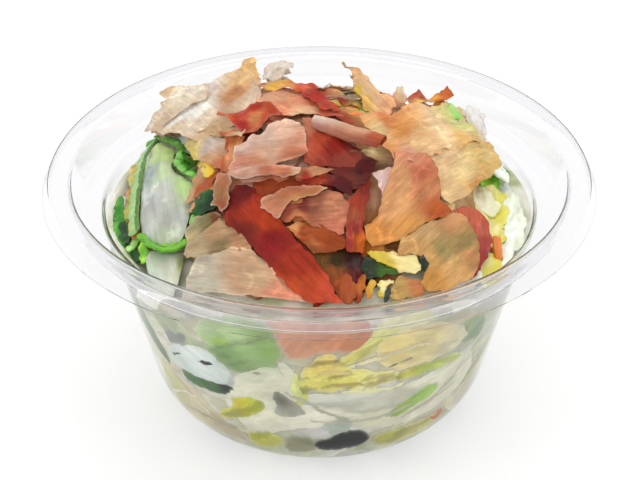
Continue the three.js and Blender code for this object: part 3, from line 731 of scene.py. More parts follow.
def wall_body(corners, paint, seed, *, depth, step, fade, folds, grain):
    """A piece pressed against the wall, from corners [azimuth, z].

    paint is spots [azimuth, z, red, green, blue], as they look through the wall. Its edge is hazy over
    fade millimetres, folds is how strongly painted shade and painted highlight mark its creases and grain
    is their slope in degrees. Of two pieces the one that is deeper in the wall shows.
    """
    scale = np.array([ARC, 1.0])
    outline, paint = np.array(corners, float) * scale, np.array(paint, float)
    if (outline[:, 0] * np.roll(outline[:, 1], -1) - outline[:, 1] * np.roll(outline[:, 0], -1)).sum() < 0:
        outline = outline[::-1]
    points, faces, edge = filled(loop(outline, 0.5, seed, step, 1), step, seed)
    u, v = points.T
    into = 0.14 + depth + 0.04 * smooth(0, 1, edge)
    angle = np.radians(u / ARC)
    height = np.clip(v, 1, WALL_PIECE_TOP)
    r = inner_radius(height) + into
    place = np.stack([r * np.sin(angle), -r * np.cos(angle), height], 1)
    slope = math.radians(grain)
    along = u * math.cos(slope) + v * math.sin(slope)
    across = v * math.cos(slope) - u * math.sin(slope)
    seen = np.array([rgb(*c) for c in paint[:, 2:]])
    colour = (spread_out(points, paint[:, :2] * scale, seen) - WALL_GLARE) / WALL_LIGHT
    # The creases are painted: lighter on their ridges and darker between them. This is painted shade and
    # painted highlight in place of the light that a crumpled leaf catches.
    wave = fractal(along / (9 - 8 * folds), across / (2.6 - 2 * folds), seed + 2)
    ridge_highlight = np.exp(-((wave / 0.14) ** 2))
    colour = blend(colour, 1.5 * colour + 0.06, 1.5 * folds * ridge_highlight)
    colour = colour * (1 + folds * wave - 0.5 * folds)[:, None]
    colour = blend(colour, 0.5 * colour + 0.5 * WALL_HAZE, 0.8 * np.exp(-edge / (0.5 * fade)))
    outward = np.stack([np.sin(angle), -np.cos(angle), 0 * angle], 1)
    flat = np.stack([along, across], 1) + seed * 4.1
    tint = opaque(np.clip(colour, 0.002, 1))
    return shell(place, faces, WALL_PIECE_THICKNESS, tint, flat, outward)


# ---- The cup ----------------------------------------------------------------------------------------

under_line = cup_underside()
over_line = moved_left(under_line, CUP_WALL)
piece("clear_cup", turned(np.concatenate([under_line, over_line[::-1]]), 192), clear, "clear_cup", "cup")

# ---- The shavings -----------------------------------------------------------------------------------

def bed_core():
    """The heap of small crumbs that all the shavings lie on."""
    sides, rows = 300, 90
    angle = np.arange(sides) * 2 * math.pi / sides
    reach = bed_reach(angle) - 0.6
    out = np.linspace(0, 1, rows)[:, None]
    x = HILL_CENTRE[0] * (1 - out) + out * reach * np.cos(angle)
    y = HILL_CENTRE[1] * (1 - out) + out * reach * np.sin(angle)
    rough = 1.1 * crumpled(x, y, 5, 0.5) + 0.5 * fractal(x / 1.1, y / 1.1, 8)
    top = bed_top(x, y) - 1.1 + rough * np.minimum(out * 6, 1) - 2.0 * smooth(0.86, 1, out)
    low_x, low_y = x[::-1], y[::-1]
    low = hill(CABBAGE_HILL, low_x, low_y) - 2.0 + 0 * low_x
    sheets = ((x, low_x), (y, low_y), (top, low))
    rings = np.stack([np.concatenate(sheet) for sheet in sheets], 2)
    px, py = rings[..., 0].ravel(), rings[..., 1].ravel()
    # The crumbs are painted at 0.7 of the shavings' colours round them: painted shade in the gaps between
    # and under the shavings.
    colour = heap_paint(px, py, 0.7) * (1 + 0.3 * fractal(px / 3, py / 2.2, 4))[:, None]
    return tube(rings, opaque(colour), rings[..., :2].copy())


def fillers(seed, count):
    """Shavings that lie flat on the heap between the large ones, in the colours round them."""
    spread = np.random.default_rng(seed)
    bodies = []
    for k in range(count):
        angle = spread.uniform(0, 2 * math.pi)
        room = float(bed_reach(angle)) + 2 * float(smooth(0, 1, math.sin(angle))) - 2
        r = math.sqrt(spread.uniform(0, 1)) * room
        centre = np.array([r * math.cos(angle), r * math.sin(angle)])
        corners = []
        size = spread.uniform(4, 9)
        start = spread.uniform(0, 2 * math.pi)
        for k_corner in range(6):
            turn = start + k_corner * math.pi / 3
            reach = size * spread.uniform(0.5, 1.2)
            x, y = centre + reach * np.array([math.cos(turn), math.sin(turn) * 0.7])
            inward = min(1, (float(bed_reach(math.atan2(y, x))) + 1) / math.hypot(x, y))
            x, y = x * inward, y * inward
            corners.append([x, y, float(bed_top(x, y)) + spread.uniform(-0.6, 0.8)])
        spots = [[*c, *(local_paint(c, spread))] for c in corners[::2]]
        rest = spread.uniform(-0.8, 0.2)
        bodies.append(sheet_body(corners, spots, seed + k, step=0.7, ragged=0.8, rest=rest, clear=0.85))
    return joined(bodies)


def hanging(seed, count):
    """Shavings that hang over the back edge of the heap, down to the cabbage."""
    spread = np.random.default_rng(seed)
    bodies = []
    for k in range(count):
        angle = math.radians(8 + 160 * (k + spread.uniform(0, 1)) / count)
        reach = float(bed_reach(angle))
        half = spread.uniform(3.5, 8) / reach
        drop = spread.uniform(5, 9)
        corners = []
        tip = spread.uniform(-0.6, 0.6)
        shape = [(-4, -0.8), (-5, 0.7), (0.4, 1), (0.6 * drop, 0.9)]
        shape += [(drop, tip), (0.4 * drop, -0.9), (0.5, -1)]
        for past, side in shape:
            way = angle + side * half
            x, y = (reach + past) * math.cos(way), (reach + past) * math.sin(way)
            down = float(smooth(0, 6, past))
            z = (1 - down) * float(bed_top(x, y)) + down * float(cabbage_top(x, y)) + 0.7
            corners.append([x, y, z])
        spots = [[*c, *(local_paint(c, spread))] for c in corners[::3]]
        bodies.append(sheet_body(corners, spots, seed + k, step=0.7, ragged=0.8, rest=None, clear=0.9))
    return joined(bodies)


def local_paint(place, spread):
    """The colour, 0 to 255, of the painted spot nearest a place, a little darker or lighter."""
    spots = np.array(painted, float)
    away = np.hypot(spots[:, 0] - place[0], spots[:, 1] - place[1]) + spread.uniform(0, 5, len(spots))
    return np.clip(spots[np.argmin(away), 3:] * spread.uniform(0.85, 1.08), 0, 255)


def heap_paint(x, y, share):
    """The colours of the shavings round each place, times share."""
    spots = np.array(painted, float)
    colours = np.array([paint_for(*c) for c in spots[:, 3:]])
    return spread_out(np.stack([x, y], 1), spots[:, :2], colours) * share


shaving("fan_behind", 1, [
    (-43, 22, 60), (-40.5, 26, 62), (-38.5, 26, 63.5), (-37.5, 30.5, 64), (-40, 36, 62.5), (-40, 38, 62.5),
    (-34.5, 33.5, 66.5), (-26, 22.5, 72.5), (-27.5, 18.5, 71), (-34, 19, 66), (-37.5, 17.5, 64),
    (-38, 15.5, 63),
], [
    (-40.5, 23.5, 61.5, 205, 180, 150), (-33, 29, 67.5, 225, 210, 185), (-39, 35.5, 63, 215, 180, 130),
], clear=0.6, slot="shaving_pale", rest=None)
shaving("fan", 2, [
    (-38, 15, 63), (-39, 22, 62.5), (-37, 23.5, 63.5), (-31.5, 25.5, 67), (-29.5, 28, 68),
    (-23.5, 28.5, 72), (-19, 27, 74.5), (-18, 30, 75), (-15.5, 28.5, 76.5), (-13.5, 10, 78),
    (-13.5, 4.5, 78), (-16.5, 1, 76), (-16.5, -6.5, 76), (-17.5, -9.5, 76), (-26, 1, 70.5), (-29, 1, 69),
    (-33.5, 9.5, 66),
], [
    # The fan's whitest spots are painted lighter than the sheet itself, standing in for light on a face
    # that turns from the lamps: painted light.
    (-33, 19, 66, 250, 245, 235), (-29, 15, 69, 240, 230, 215), (-30, 23, 68, 225, 215, 205),
    (-34, 14, 65.5, 210, 185, 155), (-28, 11, 69.5, 220, 200, 175), (-24, 2, 72, 185, 150, 110),
    (-20, 14.5, 74, 185, 125, 75), (-17, 21.5, 75.5, 215, 175, 120), (-15, 23, 77, 205, 160, 85),
    (-16.5, 8, 76, 210, 180, 150),
], clear=0.8, slot="shaving_pale", node="shaving_fan_back", rim=AMBER, crumple=0.5)
shaving("pale_mid", 3, [
    (-31, 9, 66), (-29, 2, 68.5), (-26, 1.5, 70.5), (-20.5, -5.5, 72.5), (-18.5, -10, 71.5),
    (-19.5, -13, 69.5), (-24, -11, 68.5), (-26, -8, 68), (-29, -4, 67), (-30.5, 0, 66.5), (-31.5, 4, 66),
], [
    (-30.5, 1, 67, 195, 175, 105), (-25.5, -3.5, 69.5, 215, 195, 180), (-25.5, -7, 68.5, 205, 165, 125),
    (-30, -3, 66.5, 210, 190, 95), (-23.5, -10.5, 69, 195, 130, 95),
], clear=0.65, crumple=0.6)
shaving("torn_shred", 4, [
    (-24, -16, 67.5), (-22.5, -14.5, 69), (-20.5, -15.5, 69.5), (-19.5, -18, 68.5), (-21.5, -23.5, 64),
    (-24.5, -20, 64.5), (-24, -18.5, 66),
], [
    (-21, -16.5, 68.5, 165, 105, 75), (-23, -19, 66, 150, 105, 70), (-21.5, -22, 65, 140, 75, 50),
], clear=0.9, ragged=0.7, rim=CREAM_EDGE_HIGHLIGHT, crumple=0.6)
shaving("glassy_small", 5, [
    (-30.5, -22.5, 58.5), (-28, -20.5, 61), (-25, -20.5, 62.5), (-23, -21, 63), (-21, -23.5, 62.5),
    (-25.5, -25, 59.5), (-30, -27, 57),
], [
    (-28.5, -22, 60, 170, 155, 120), (-26, -22.5, 61, 135, 125, 85), (-23, -22.5, 62.5, 125, 75, 45),
    (-28.5, -24.5, 58.5, 190, 170, 125),
], clear=0.6, rim=CREAM_EDGE_HIGHLIGHT)
shaving("pale_upper", 6, [
    (-30.5, -28, 56), (-30, -26.5, 57.5), (-22.5, -23, 62.5), (-20, -24.5, 62.5), (-15, -31.5, 60),
    (-18.5, -31.5, 58.5), (-29.5, -29.5, 56),
], [
    (-27.5, -27, 58, 180, 160, 125), (-23, -26, 60.5, 180, 145, 110), (-22, -29, 59, 140, 120, 85),
    (-17.5, -29.5, 60, 180, 135, 100),
], clear=0.7)
shaving("pale_front", 7, [
    (-30, -39.5, 52.5), (-28, -30, 56.5), (-19, -30.5, 59.5), (-15.5, -31, 60), (-2.5, -44.5, 54),
    (-18.5, -41.5, 54), (-26.5, -39.5, 53.5),
], [
    (-28, -37, 54, 190, 180, 160), (-14, -36.5, 57, 200, 165, 130), (-6.5, -42, 55, 215, 140, 110),
], clear=0.72, slot="shaving_pale", node="shaving_pale_front", crumple=0.25, rim=CREAM_EDGE_HIGHLIGHT)
shaving("red_diagonal", 8, [
    (-21.5, -23.5, 63.5), (-20.5, -19.5, 66.5), (-18.5, -18, 68.5), (-15.5, -19.5, 69), (-12.5, -22, 68.5),
    (-13, -23.5, 67), (-7, -29, 64), (-5, -32, 62.5), (-1, -35.5, 60), (2, -39.5, 57.5), (2.5, -41.5, 56.5),
    (5.5, -45, 54.5), (-2.5, -45.5, 54.5), (-8.5, -39.5, 57), (-18, -28, 62), (-21, -25.5, 62.5),
], [
    (-18.5, -20, 67.5, 105, 30, 15), (-14.5, -25, 65, 165, 55, 25), (-11, -27, 65, 175, 65, 35),
    (-16.5, -28, 62.5, 110, 40, 25), (-10.5, -31, 62, 130, 35, 15), (-4, -37, 58.5, 150, 50, 25),
    (-3.5, -41, 56.5, 175, 70, 40), (2, -43.5, 55.5, 185, 75, 50),
], clear=0.85, slot="shaving_red", node="shaving_red_diagonal", crumple=0.3)
shaving("beige_flake", 9, [
    (-13.5, -24, 68), (-6.5, -22.5, 71), (0.5, -23, 71.5), (2, -23.5, 71), (0.5, -24.5, 70.5),
    (-6.5, -26, 68.5), (-9, -28.5, 66), (-13, -25.5, 67),
], [
    (-5, -23.5, 70.5, 160, 90, 65), (-4.5, -25, 69.5, 185, 125, 80), (-9.5, -27, 67, 180, 120, 90),
], clear=0.85, rim=CREAM_EDGE_HIGHLIGHT, crumple=0.5)
shaving("patch_grey", 10, [
    (-8.5, -26, 67), (-2, -23.5, 69.5), (1.5, -23, 70), (4.5, -23.5, 70), (6.5, -25, 68.5), (6, -31, 63.5),
    (4.5, -31.5, 63.5), (-1, -29.5, 64.5), (-4, -28, 66), (-7.5, -28.5, 65), (-9, -27.5, 65),
], [
    (-7, -26.5, 67, 145, 70, 55), (-3.5, -26, 67.5, 110, 50, 45), (-1, -26, 68, 140, 85, 65),
    (2.5, -26.5, 67.5, 175, 115, 85), (4, -29, 65.5, 190, 115, 90), (-5, -27.5, 66, 185, 115, 75),
], clear=0.85)
shaving("patch_orange", 11, [
    (-7.5, -29, 64), (-5.5, -28.5, 65), (-1, -29, 65), (4.5, -31, 63.5), (6, -32, 62.5), (5.5, -33.5, 61),
    (-1, -34.5, 60.5),
], [
    (-6, -29, 64.5, 190, 130, 80), (-3, -30.5, 63.5, 150, 70, 30), (1, -32, 62.5, 150, 70, 25),
    (-1, -33.5, 61.5, 150, 85, 50),
], clear=0.85)
shaving("olive_dark", 12, [
    (-2, -33, 60.5), (6, -32.5, 60.5), (9.5, -33, 60), (10, -37, 57), (9.5, -43, 54), (5, -44, 54),
    (2, -40, 56),
], [
    (0.5, -34.5, 59, 110, 75, 40), (3.5, -35.5, 58.5, 60, 50, 30), (7.5, -35, 58.5, 55, 30, 30),
    (3, -37, 57.5, 130, 75, 40), (5.5, -40, 56, 145, 65, 20), (8.5, -38.5, 56.5, 85, 25, 10),
    (6.5, -42.5, 54.5, 150, 65, 25),
], clear=0.9, curl=0.2)
shaving("strip_pink", 13, [
    (9, -21, 71), (11, -19.5, 72), (11.5, -21.5, 70), (9.5, -29, 64.5), (10, -32, 62), (9.5, -34.5, 60.5),
    (6, -34.5, 61), (5.5, -26.5, 67), (6.5, -24, 69), (8.5, -22.5, 70),
], [
    (10, -22, 70, 125, 50, 40), (8, -24.5, 68.5, 150, 60, 45), (6.5, -27.5, 66, 160, 85, 60),
    (8, -29.5, 64.5, 140, 55, 45), (6.5, -32.5, 62, 150, 60, 50), (9, -32, 62, 180, 90, 30),
], clear=0.85)
shaving("strip_olive", 14, [
    (11.5, -17.5, 72), (13, -19, 71), (14, -21.5, 68.5), (13.5, -26, 65.5), (11.5, -28, 64.5),
    (9.5, -28.5, 64), (10.5, -24.5, 67),
], [
    (12, -20, 70.5, 125, 85, 55), (12, -23, 68, 150, 110, 85), (11, -27, 65, 135, 85, 50),
], clear=0.8)
shaving("lavender_white", 15, [
    (12, -18, 71.5), (16, -16, 71.5), (16.5, -18.5, 70), (15, -21, 68.5), (12.5, -26.5, 65), (10, -28, 64),
    (10.5, -24, 67),
], [
    (13.5, -19, 70.5, 240, 205, 195), (13.5, -21.5, 68.5, 215, 165, 145), (11.5, -25, 66.5, 175, 140, 105),
    (12, -26, 65.5, 175, 130, 90),
], clear=0.85)
shaving("pink_grey", 16, [
    (-20.5, -15, 70.5), (-7.5, -18, 74), (-3.5, -17, 75.5), (-2.5, -16, 76), (-3.5, -10.5, 79.5),
    (-5.5, -8.5, 80), (-9.5, -8, 79.5), (-11, -8, 78.5), (-13.5, -9.5, 77), (-15.5, -9, 76.5),
    (-16.5, -10, 75.5), (-19, -10.5, 74),
], [
    (-17, -11, 75, 205, 175, 160), (-12.5, -11, 77, 205, 170, 150), (-7.5, -11, 78.5, 210, 170, 145),
    (-5, -13.5, 77.5, 200, 140, 115), (-12, -14.5, 75, 200, 160, 135), (-17.5, -14.5, 72.5, 190, 130, 105),
    (-5.5, -16, 76, 180, 110, 80), (-13.5, -16, 73, 190, 130, 100),
], clear=0.85, node="shaving_pink_grey", rim=CREAM_EDGE_HIGHLIGHT, ragged=0.6)
shaving("pink_lip", 17, [
    (-20.5, -17, 70.5), (-20.5, -16.5, 71), (-17, -17, 72.5), (-10, -18.5, 74), (-4, -20.5, 74.5),
    (-4.5, -21.5, 73.5), (-7.5, -21.5, 72.5), (-11, -20.5, 72.5), (-18.5, -19, 70.5),
], [
    (-15.5, -18, 72.5, 185, 140, 120), (-11.5, -19.5, 73, 165, 95, 70), (-7.5, -21, 73, 175, 105, 75),
    (-4.5, -21, 73.5, 190, 145, 115),
], clear=0.95, rim=CREAM_EDGE_HIGHLIGHT, ragged=0.2, curl=-0.6, dome=0.8)
shaving("pink_brown", 18, [
    (-4, -7, 80), (-1, -8.5, 79.5), (1.5, -11, 78.5), (9.5, -16, 75), (8, -18.5, 73.5), (-1, -19, 73.5),
    (-3.5, -17.5, 74), (-3, -15.5, 76),
], [
    (-2, -10, 78.5, 190, 120, 90), (0, -12, 78, 165, 65, 45), (4, -14.5, 76.5, 130, 40, 25),
    (6.5, -16.5, 75, 130, 60, 50),
], clear=0.9)
shaving("plum", 19, [
    (2, -17, 74.5), (8, -15, 75.5), (13.5, -15.5, 73.5), (11, -20.5, 71), (8, -22.5, 70), (6, -22.5, 70),
    (2, -19, 73),
], [
    (6.5, -16.5, 74.5, 140, 100, 80), (5.5, -19, 73, 105, 45, 40), (9.5, -18, 73, 80, 30, 30),
], clear=0.9)
shaving("brown_band", 20, [
    (-15, -18, 70), (-9, -19, 72), (3.5, -20, 72.5), (7, -21.5, 71.5), (7, -24, 69), (3.5, -22.5, 70.5),
    (-0.5, -22.5, 71), (-7.5, -22.5, 69.5), (-12.5, -23, 67.5), (-14, -21.5, 68.5),
], [
    (-5.5, -20.5, 71.5, 135, 60, 30), (-3, -21, 71.5, 155, 60, 40), (6, -22.5, 70.5, 80, 25, 20),
], clear=0.95)
shaving("light_flake", 21, [
    (-6.5, -20.5, 73), (-4, -20, 74), (-1, -20, 74.5), (3.5, -20.5, 74), (-0.5, -21.5, 73),
    (-3, -22.5, 72.5), (-5, -22, 72.5),
], [
    (-5, -21, 73, 165, 110, 75), (-1, -21, 74, 180, 130, 95), (-3, -22, 73, 145, 45, 40),
], clear=0.95, ragged=0.2, curl=0.1)
shaving("crown", 22, [
    (-14.5, 10, 77.5), (-13, 10.5, 78), (-8.5, 8.5, 79.5), (-1, 5, 80), (6, -6, 79.5), (3, -6.5, 79.5),
    (-1.5, -5, 79.5), (-6, -5.5, 79), (-9.5, -3.5, 78.5), (-11.5, 1, 78.5), (-14.5, 3, 78),
], [
    (-11.5, 4.5, 79, 220, 165, 130), (-1, 0, 80, 195, 100, 75), (-9.5, -1.5, 79, 210, 135, 100),
    (-3, -3, 79.5, 220, 175, 135), (2, -3, 80, 175, 75, 55),
], clear=0.85)
shaving("crown_rim", 23, [
    (-15.5, 12.5, 77.5), (-13, 13, 78), (-9.5, 12.5, 79), (-1.5, 7, 80.5), (3, -2.5, 80.5), (5.5, -5.5, 80),
    (2, -5, 80), (-0.5, -2.5, 80.5), (-3, 1.5, 80.5), (-6.5, 5, 80.5), (-14, 9, 78.5),
], [
    (-14.5, 11.5, 78, 170, 90, 35), (-10.5, 10, 79.5, 215, 165, 70), (-7, 7.5, 80, 205, 135, 65),
    (-4.5, 7, 80.5, 185, 70, 40), (-1, 3, 80.5, 155, 45, 35),
], clear=0.95, ragged=0.7, rim=DARK_RED)
shaving("curl_red", 24, [
    (-23.5, 3, 75), (-21, 0.5, 76), (-16, 0, 79), (-11, -1.5, 80.5), (-8, -6, 80), (-11, -5.5, 79),
    (-14, -8.5, 77), (-17.5, -7.5, 75.5), (-21, -1, 76),
], [
    (-21.5, 0.5, 76, 185, 90, 60), (-18.5, -1, 77.5, 165, 55, 30), (-14.5, -1, 79, 155, 45, 25),
    (-10, -4, 80, 160, 60, 35), (-14.5, -4, 78.5, 185, 120, 75), (-12.5, -5, 79, 175, 80, 55),
    (-18, -5, 76.5, 150, 40, 20),
], clear=0.95, curl=0.9, rim=ROSE)
shaving("left_brown", 25, [
    (-22.5, -2.5, 73), (-18.5, -4.5, 74.5), (-16.5, -7, 74.5), (-17.5, -9, 73.5), (-19.5, -10.5, 71.5),
    (-19, -13.5, 70.5), (-20.5, -14.5, 69), (-22.5, -13, 69), (-23.5, -10, 69.5), (-21, -8.5, 71.5),
], [
    (-19.5, -5.5, 73.5, 185, 110, 70), (-21.5, -6, 72.5, 145, 70, 35), (-19.5, -9, 72.5, 195, 135, 90),
    (-22, -12, 69.5, 185, 95, 55), (-20.5, -12, 70.5, 200, 135, 95),
], clear=0.85, ragged=0.7, crumple=0.6)
shaving("tan_wide", 26, [
    (17.5, -13.5, 74.5), (24.5, -10.5, 72.5), (26.5, -13, 70.5), (27.5, -15.5, 68), (27, -20.5, 65.5),
    (29, -20, 64.5), (30, -21, 63), (22.5, -27, 63), (16.5, -31.5, 61.5), (12, -33, 61.5),
    (10.5, -32, 62.5), (10, -29.5, 64.5), (13, -27, 66), (15.5, -20, 71),
], [
    (21, -13.5, 73, 200, 135, 105), (18, -18, 71.5, 205, 150, 105), (23, -16, 70.5, 180, 105, 75),
    (25, -18, 68, 190, 125, 85), (16, -25, 66.5, 210, 155, 105), (13, -30.5, 63, 200, 135, 70),
    (19, -28, 63.5, 205, 145, 80), (27.5, -21.5, 64.5, 170, 85, 45),
], clear=0.85, slot="shaving_tan", node="shaving_tan_wide", crumple=0.4, rim=BROWN)
shaving("tan_round", 27, [
    (18, -30.5, 62), (22.5, -27, 63), (30.5, -21, 63), (32.5, -21, 62), (34.5, -22.5, 60),
    (35.5, -24.5, 58.5), (36, -27.5, 57.5), (35.5, -31.5, 56), (34, -36, 55), (28, -40, 54.5),
    (23.5, -41, 55), (22, -39, 56), (24, -34.5, 57.5), (22, -33.5, 59), (17.5, -34, 59.5),
], [
    (25, -27, 62, 185, 145, 100), (29.5, -23.5, 62, 185, 135, 90), (27.5, -30, 59, 155, 135, 85),
    (33, -27.5, 58.5, 140, 120, 75), (34, -29, 57, 175, 125, 80), (24, -32, 59, 190, 145, 90),
    (25.5, -37.5, 56, 190, 135, 70), (30, -36, 56, 195, 150, 95),
], clear=0.88, slot="shaving_tan", node="shaving_tan_round", crumple=0.3)
shaving("brown_rim", 28, [
    (30, -20, 62.5), (32, -18, 62.5), (35.5, -16, 61.5), (38.5, -18.5, 58.5), (39, -24, 56.5),
    (38, -27.5, 55.5), (34, -35.5, 54), (32.5, -35.5, 54.5), (35, -25.5, 57.5), (34.5, -22.5, 59),
    (32, -20.5, 61),
], [
    (34, -18.5, 61, 185, 95, 70), (37, -21.5, 58, 180, 90, 70), (37.5, -24.5, 57, 160, 70, 60),
    (36.5, -28.5, 55.5, 150, 60, 55),
], clear=0.92, rim=DARK_RED)
shaving("crisp", 29, [
    (6.5, -5.5, 80), (9.5, -4, 80), (13.5, -4, 79.5), (22.5, 3.5, 77.5), (28.5, 10, 73.5), (34, 23, 66),
    (35.5, 17.5, 67), (37, 10.5, 67), (38.5, 6, 66), (35, 1, 68.5), (26.5, -9, 71.5), (21.5, -13.5, 72),
    (17.5, -15.5, 72.5), (15, -13.5, 75), (9, -7, 79.5),
], [
    (7.5, -5.5, 80, 225, 130, 70), (11, -6, 79.5, 220, 165, 110), (14.5, -5, 78.5, 210, 130, 80),
    (13.5, -8.5, 77.5, 225, 195, 140), (19, -5.5, 77, 215, 150, 85), (29, 2, 73, 230, 195, 150),
    (32.5, 8.5, 70.5, 210, 205, 130), (23, -7.5, 74, 225, 185, 135), (20.5, -12.5, 73, 220, 165, 140),
    (34.5, 2.5, 69, 225, 180, 110), (16, -12.5, 75, 225, 160, 100),
], clear=0.8, slot="shaving_tan", node="shaving_crisp", crumple=0.8, ragged=0.7, size=0.6)
shaving("beige_wide", 30, [
    (21.5, -12.5, 71.5), (30.5, -2.5, 70), (35.5, 3.5, 67.5), (38.5, 7.5, 65), (41.5, 10, 62.5),
    (43, 5, 61.5), (42.5, 2, 61.5), (41, -1, 62.5), (39, -6, 62.5), (36, -10, 63.5), (33.5, -14.5, 63),
    (29.5, -18.5, 63.5), (27.5, -18, 65), (26.5, -14.5, 68), (24.5, -11.5, 70.5),
], [
    (28.5, -7.5, 70, 225, 190, 145), (39.5, 3.5, 64, 210, 180, 115), (41.5, 2.5, 62.5, 210, 170, 90),
    (34.5, -8.5, 65, 220, 190, 135), (31, -15, 64.5, 220, 185, 135), (36, -9.5, 63.5, 200, 145, 75),
], clear=0.8, crumple=0.5, rim=AMBER)
shaving("frayed", 31, [
    (35, 17.5, 69), (36.5, 20.5, 68), (38, 20, 67), (40.5, 20.5, 65), (39.5, 16, 65), (40, 11.5, 64),
    (41.5, 9, 63), (39, 6, 64.5), (34, 13, 69.5),
], [
    (38, 14, 66.5, 225, 220, 215), (37, 9.5, 66.5, 220, 200, 170), (40, 9, 64, 215, 195, 165),
], clear=0.55, crumple=0.9, ragged=0.9, size=0.4, rest=None)
shaving("antler", 32, [
    (5.5, 12.5, 84), (6.5, 11, 83.5), (9.5, 11.5, 83), (14, 4, 79.5), (16, 4.5, 79.5), (17.5, 3.5, 78.5),
    (18, 1.5, 78), (16.5, -0.5, 77.5), (13.5, -1.5, 77.5), (10.5, -0.5, 78), (9.5, 2.5, 79.5),
    (7.5, 4.5, 80.5), (8.5, 5.5, 81), (7.5, 7.5, 82), (8, 8, 82), (7.5, 9.5, 82.5), (6, 10.5, 83.5),
], [
    (6.5, 11, 83.5, 155, 135, 100), (9, 10.5, 83, 200, 150, 95), (9.5, 7.5, 81.5, 205, 165, 125),
    (11, 5, 80.5, 205, 170, 125), (8.5, 4.5, 80.5, 200, 170, 65), (13.5, 2.5, 79, 205, 165, 125),
    (11, 1.5, 79, 200, 155, 85), (15.5, 2, 78.5, 200, 145, 105),
], clear=0.85, ragged=0.6, rim=AMBER, rest=None)
shaving("spike_white", 33, [
    (17, 4, 77.5), (17.5, 7, 78.5), (18, 9, 79), (19.5, 10, 79), (20.5, 6, 77), (19, 4.5, 76.5),
    (17.5, 2.5, 76.5),
], [
    (19, 8.5, 78.5, 215, 195, 165), (18.5, 6, 77.5, 210, 170, 130), (17.5, 3.5, 77, 200, 140, 105),
], clear=0.7, rest=None)
shaving("curl_back", 34, [
    (20.5, 8.5, 76.5), (23, 11, 76.5), (25.5, 11, 75), (28, 13, 75), (30, 16, 75), (31.5, 14.5, 73.5),
    (30, 12.5, 73.5), (22.5, 7, 75), (21, 6.5, 76),
], [
    (22, 9.5, 76.5, 170, 75, 55), (23.5, 9.5, 75.5, 160, 70, 40), (26.5, 11, 74.5, 205, 140, 65),
    (29.5, 14, 74.5, 195, 100, 35), (30.5, 14, 74, 180, 85, 30), (23.5, 8, 75, 200, 165, 95),
], clear=0.92, curl=1.0, ragged=0.5, rest=None)
shaving("ghost", 35, [
    (-13.5, 19.5, 75.5), (-13.5, 27.5, 73.5), (-11.5, 33.5, 72.5), (-9.5, 35.5, 72), (-6.5, 31, 73.5),
    (-6, 26, 75), (-8, 25, 75), (-9, 17.5, 77), (-11, 15.5, 77),
], [
    (-12, 24, 74.5, 220, 205, 185), (-8.5, 29.5, 74, 220, 205, 180), (-6.5, 28.5, 74.5, 210, 190, 170),
], clear=0.5, rest=None)


def roll():
    """The rolled shaving on top: pale where it starts, orange red at its right end."""
    start, end = np.array([-1.5, -8.5, 79.3]), np.array([14.5, -16, 77.8])
    length, width, seed = np.linalg.norm(end - start), 11, 23
    points, faces, _ = filled(four_sided(length, width, 0.3, 0.4, seed), 0.4, seed)
    u, v = points.T
    s = u / length + 0.5
    run = (end - start) / length
    across = np.cross([0, 0, 1.0], run)
    up = np.cross(run, across)
    turn = v / width * 4.6 + 0.4
    thick = 1.9 + 0.35 * np.sin(s * 3) + 0.25 * fractal(u / 5, v / 4, seed)
    thick = thick * (1 - 0.06 * np.abs(turn))
    place = start + s[:, None] * (end - start)
    place = place + across * (thick * np.sin(turn) * 1.15)[:, None]
    place = place + up * (thick * np.cos(turn) * 0.9)[:, None]
    place[:, 2] += 0.5 * fractal(u / 6, 0 * u, 29)
    middle = smooth(0.1, 0.5, s + 0.1 * fractal(u / 3, v / 2, 24))
    colour = blend(rgb(226, 200, 180), rgb(206, 156, 122), middle)
    colour = blend(colour, rgb(176, 84, 44), smooth(0.6, 0.95, s + 0.12 * fractal(u / 3, v / 2, 25)))
    colour = blend(colour, rgb(150, 62, 44), smooth(0.1, 0.9, -np.sin(turn)) * 0.7)
    colour = colour * (1 + 0.1 * fractal(u / 8, v / 0.8, 26))[:, None]
    tint = np.concatenate([colour, np.full((len(u), 1), 0.95)], 1)
    outward = across * np.sin(turn)[:, None] + up * np.cos(turn)[:, None]
    return shell(place, faces, 0.12, tint, points, outward)


piece("roll", roll(), dried, "shaving_pink", "shaving_roll")
painted.extend([(0, -9, 79, 196, 110, 90), (12, -15, 78, 176, 74, 60)])
piece("shavings_under", joined(under_layers), dried, "shaving_pink", "shavings_heap")
piece("shavings_core", bed_core(), dried, "shaving_pink", "shavings_heap")
piece("shavings_fill", fillers(300, 110), dried, "shaving_pink", "shavings_heap")
piece("shavings_hanging", hanging(500, 17), dried, "shaving_pale", "shavings_heap")


# ---- The cabbage ------------------------------------------------------------------------------------

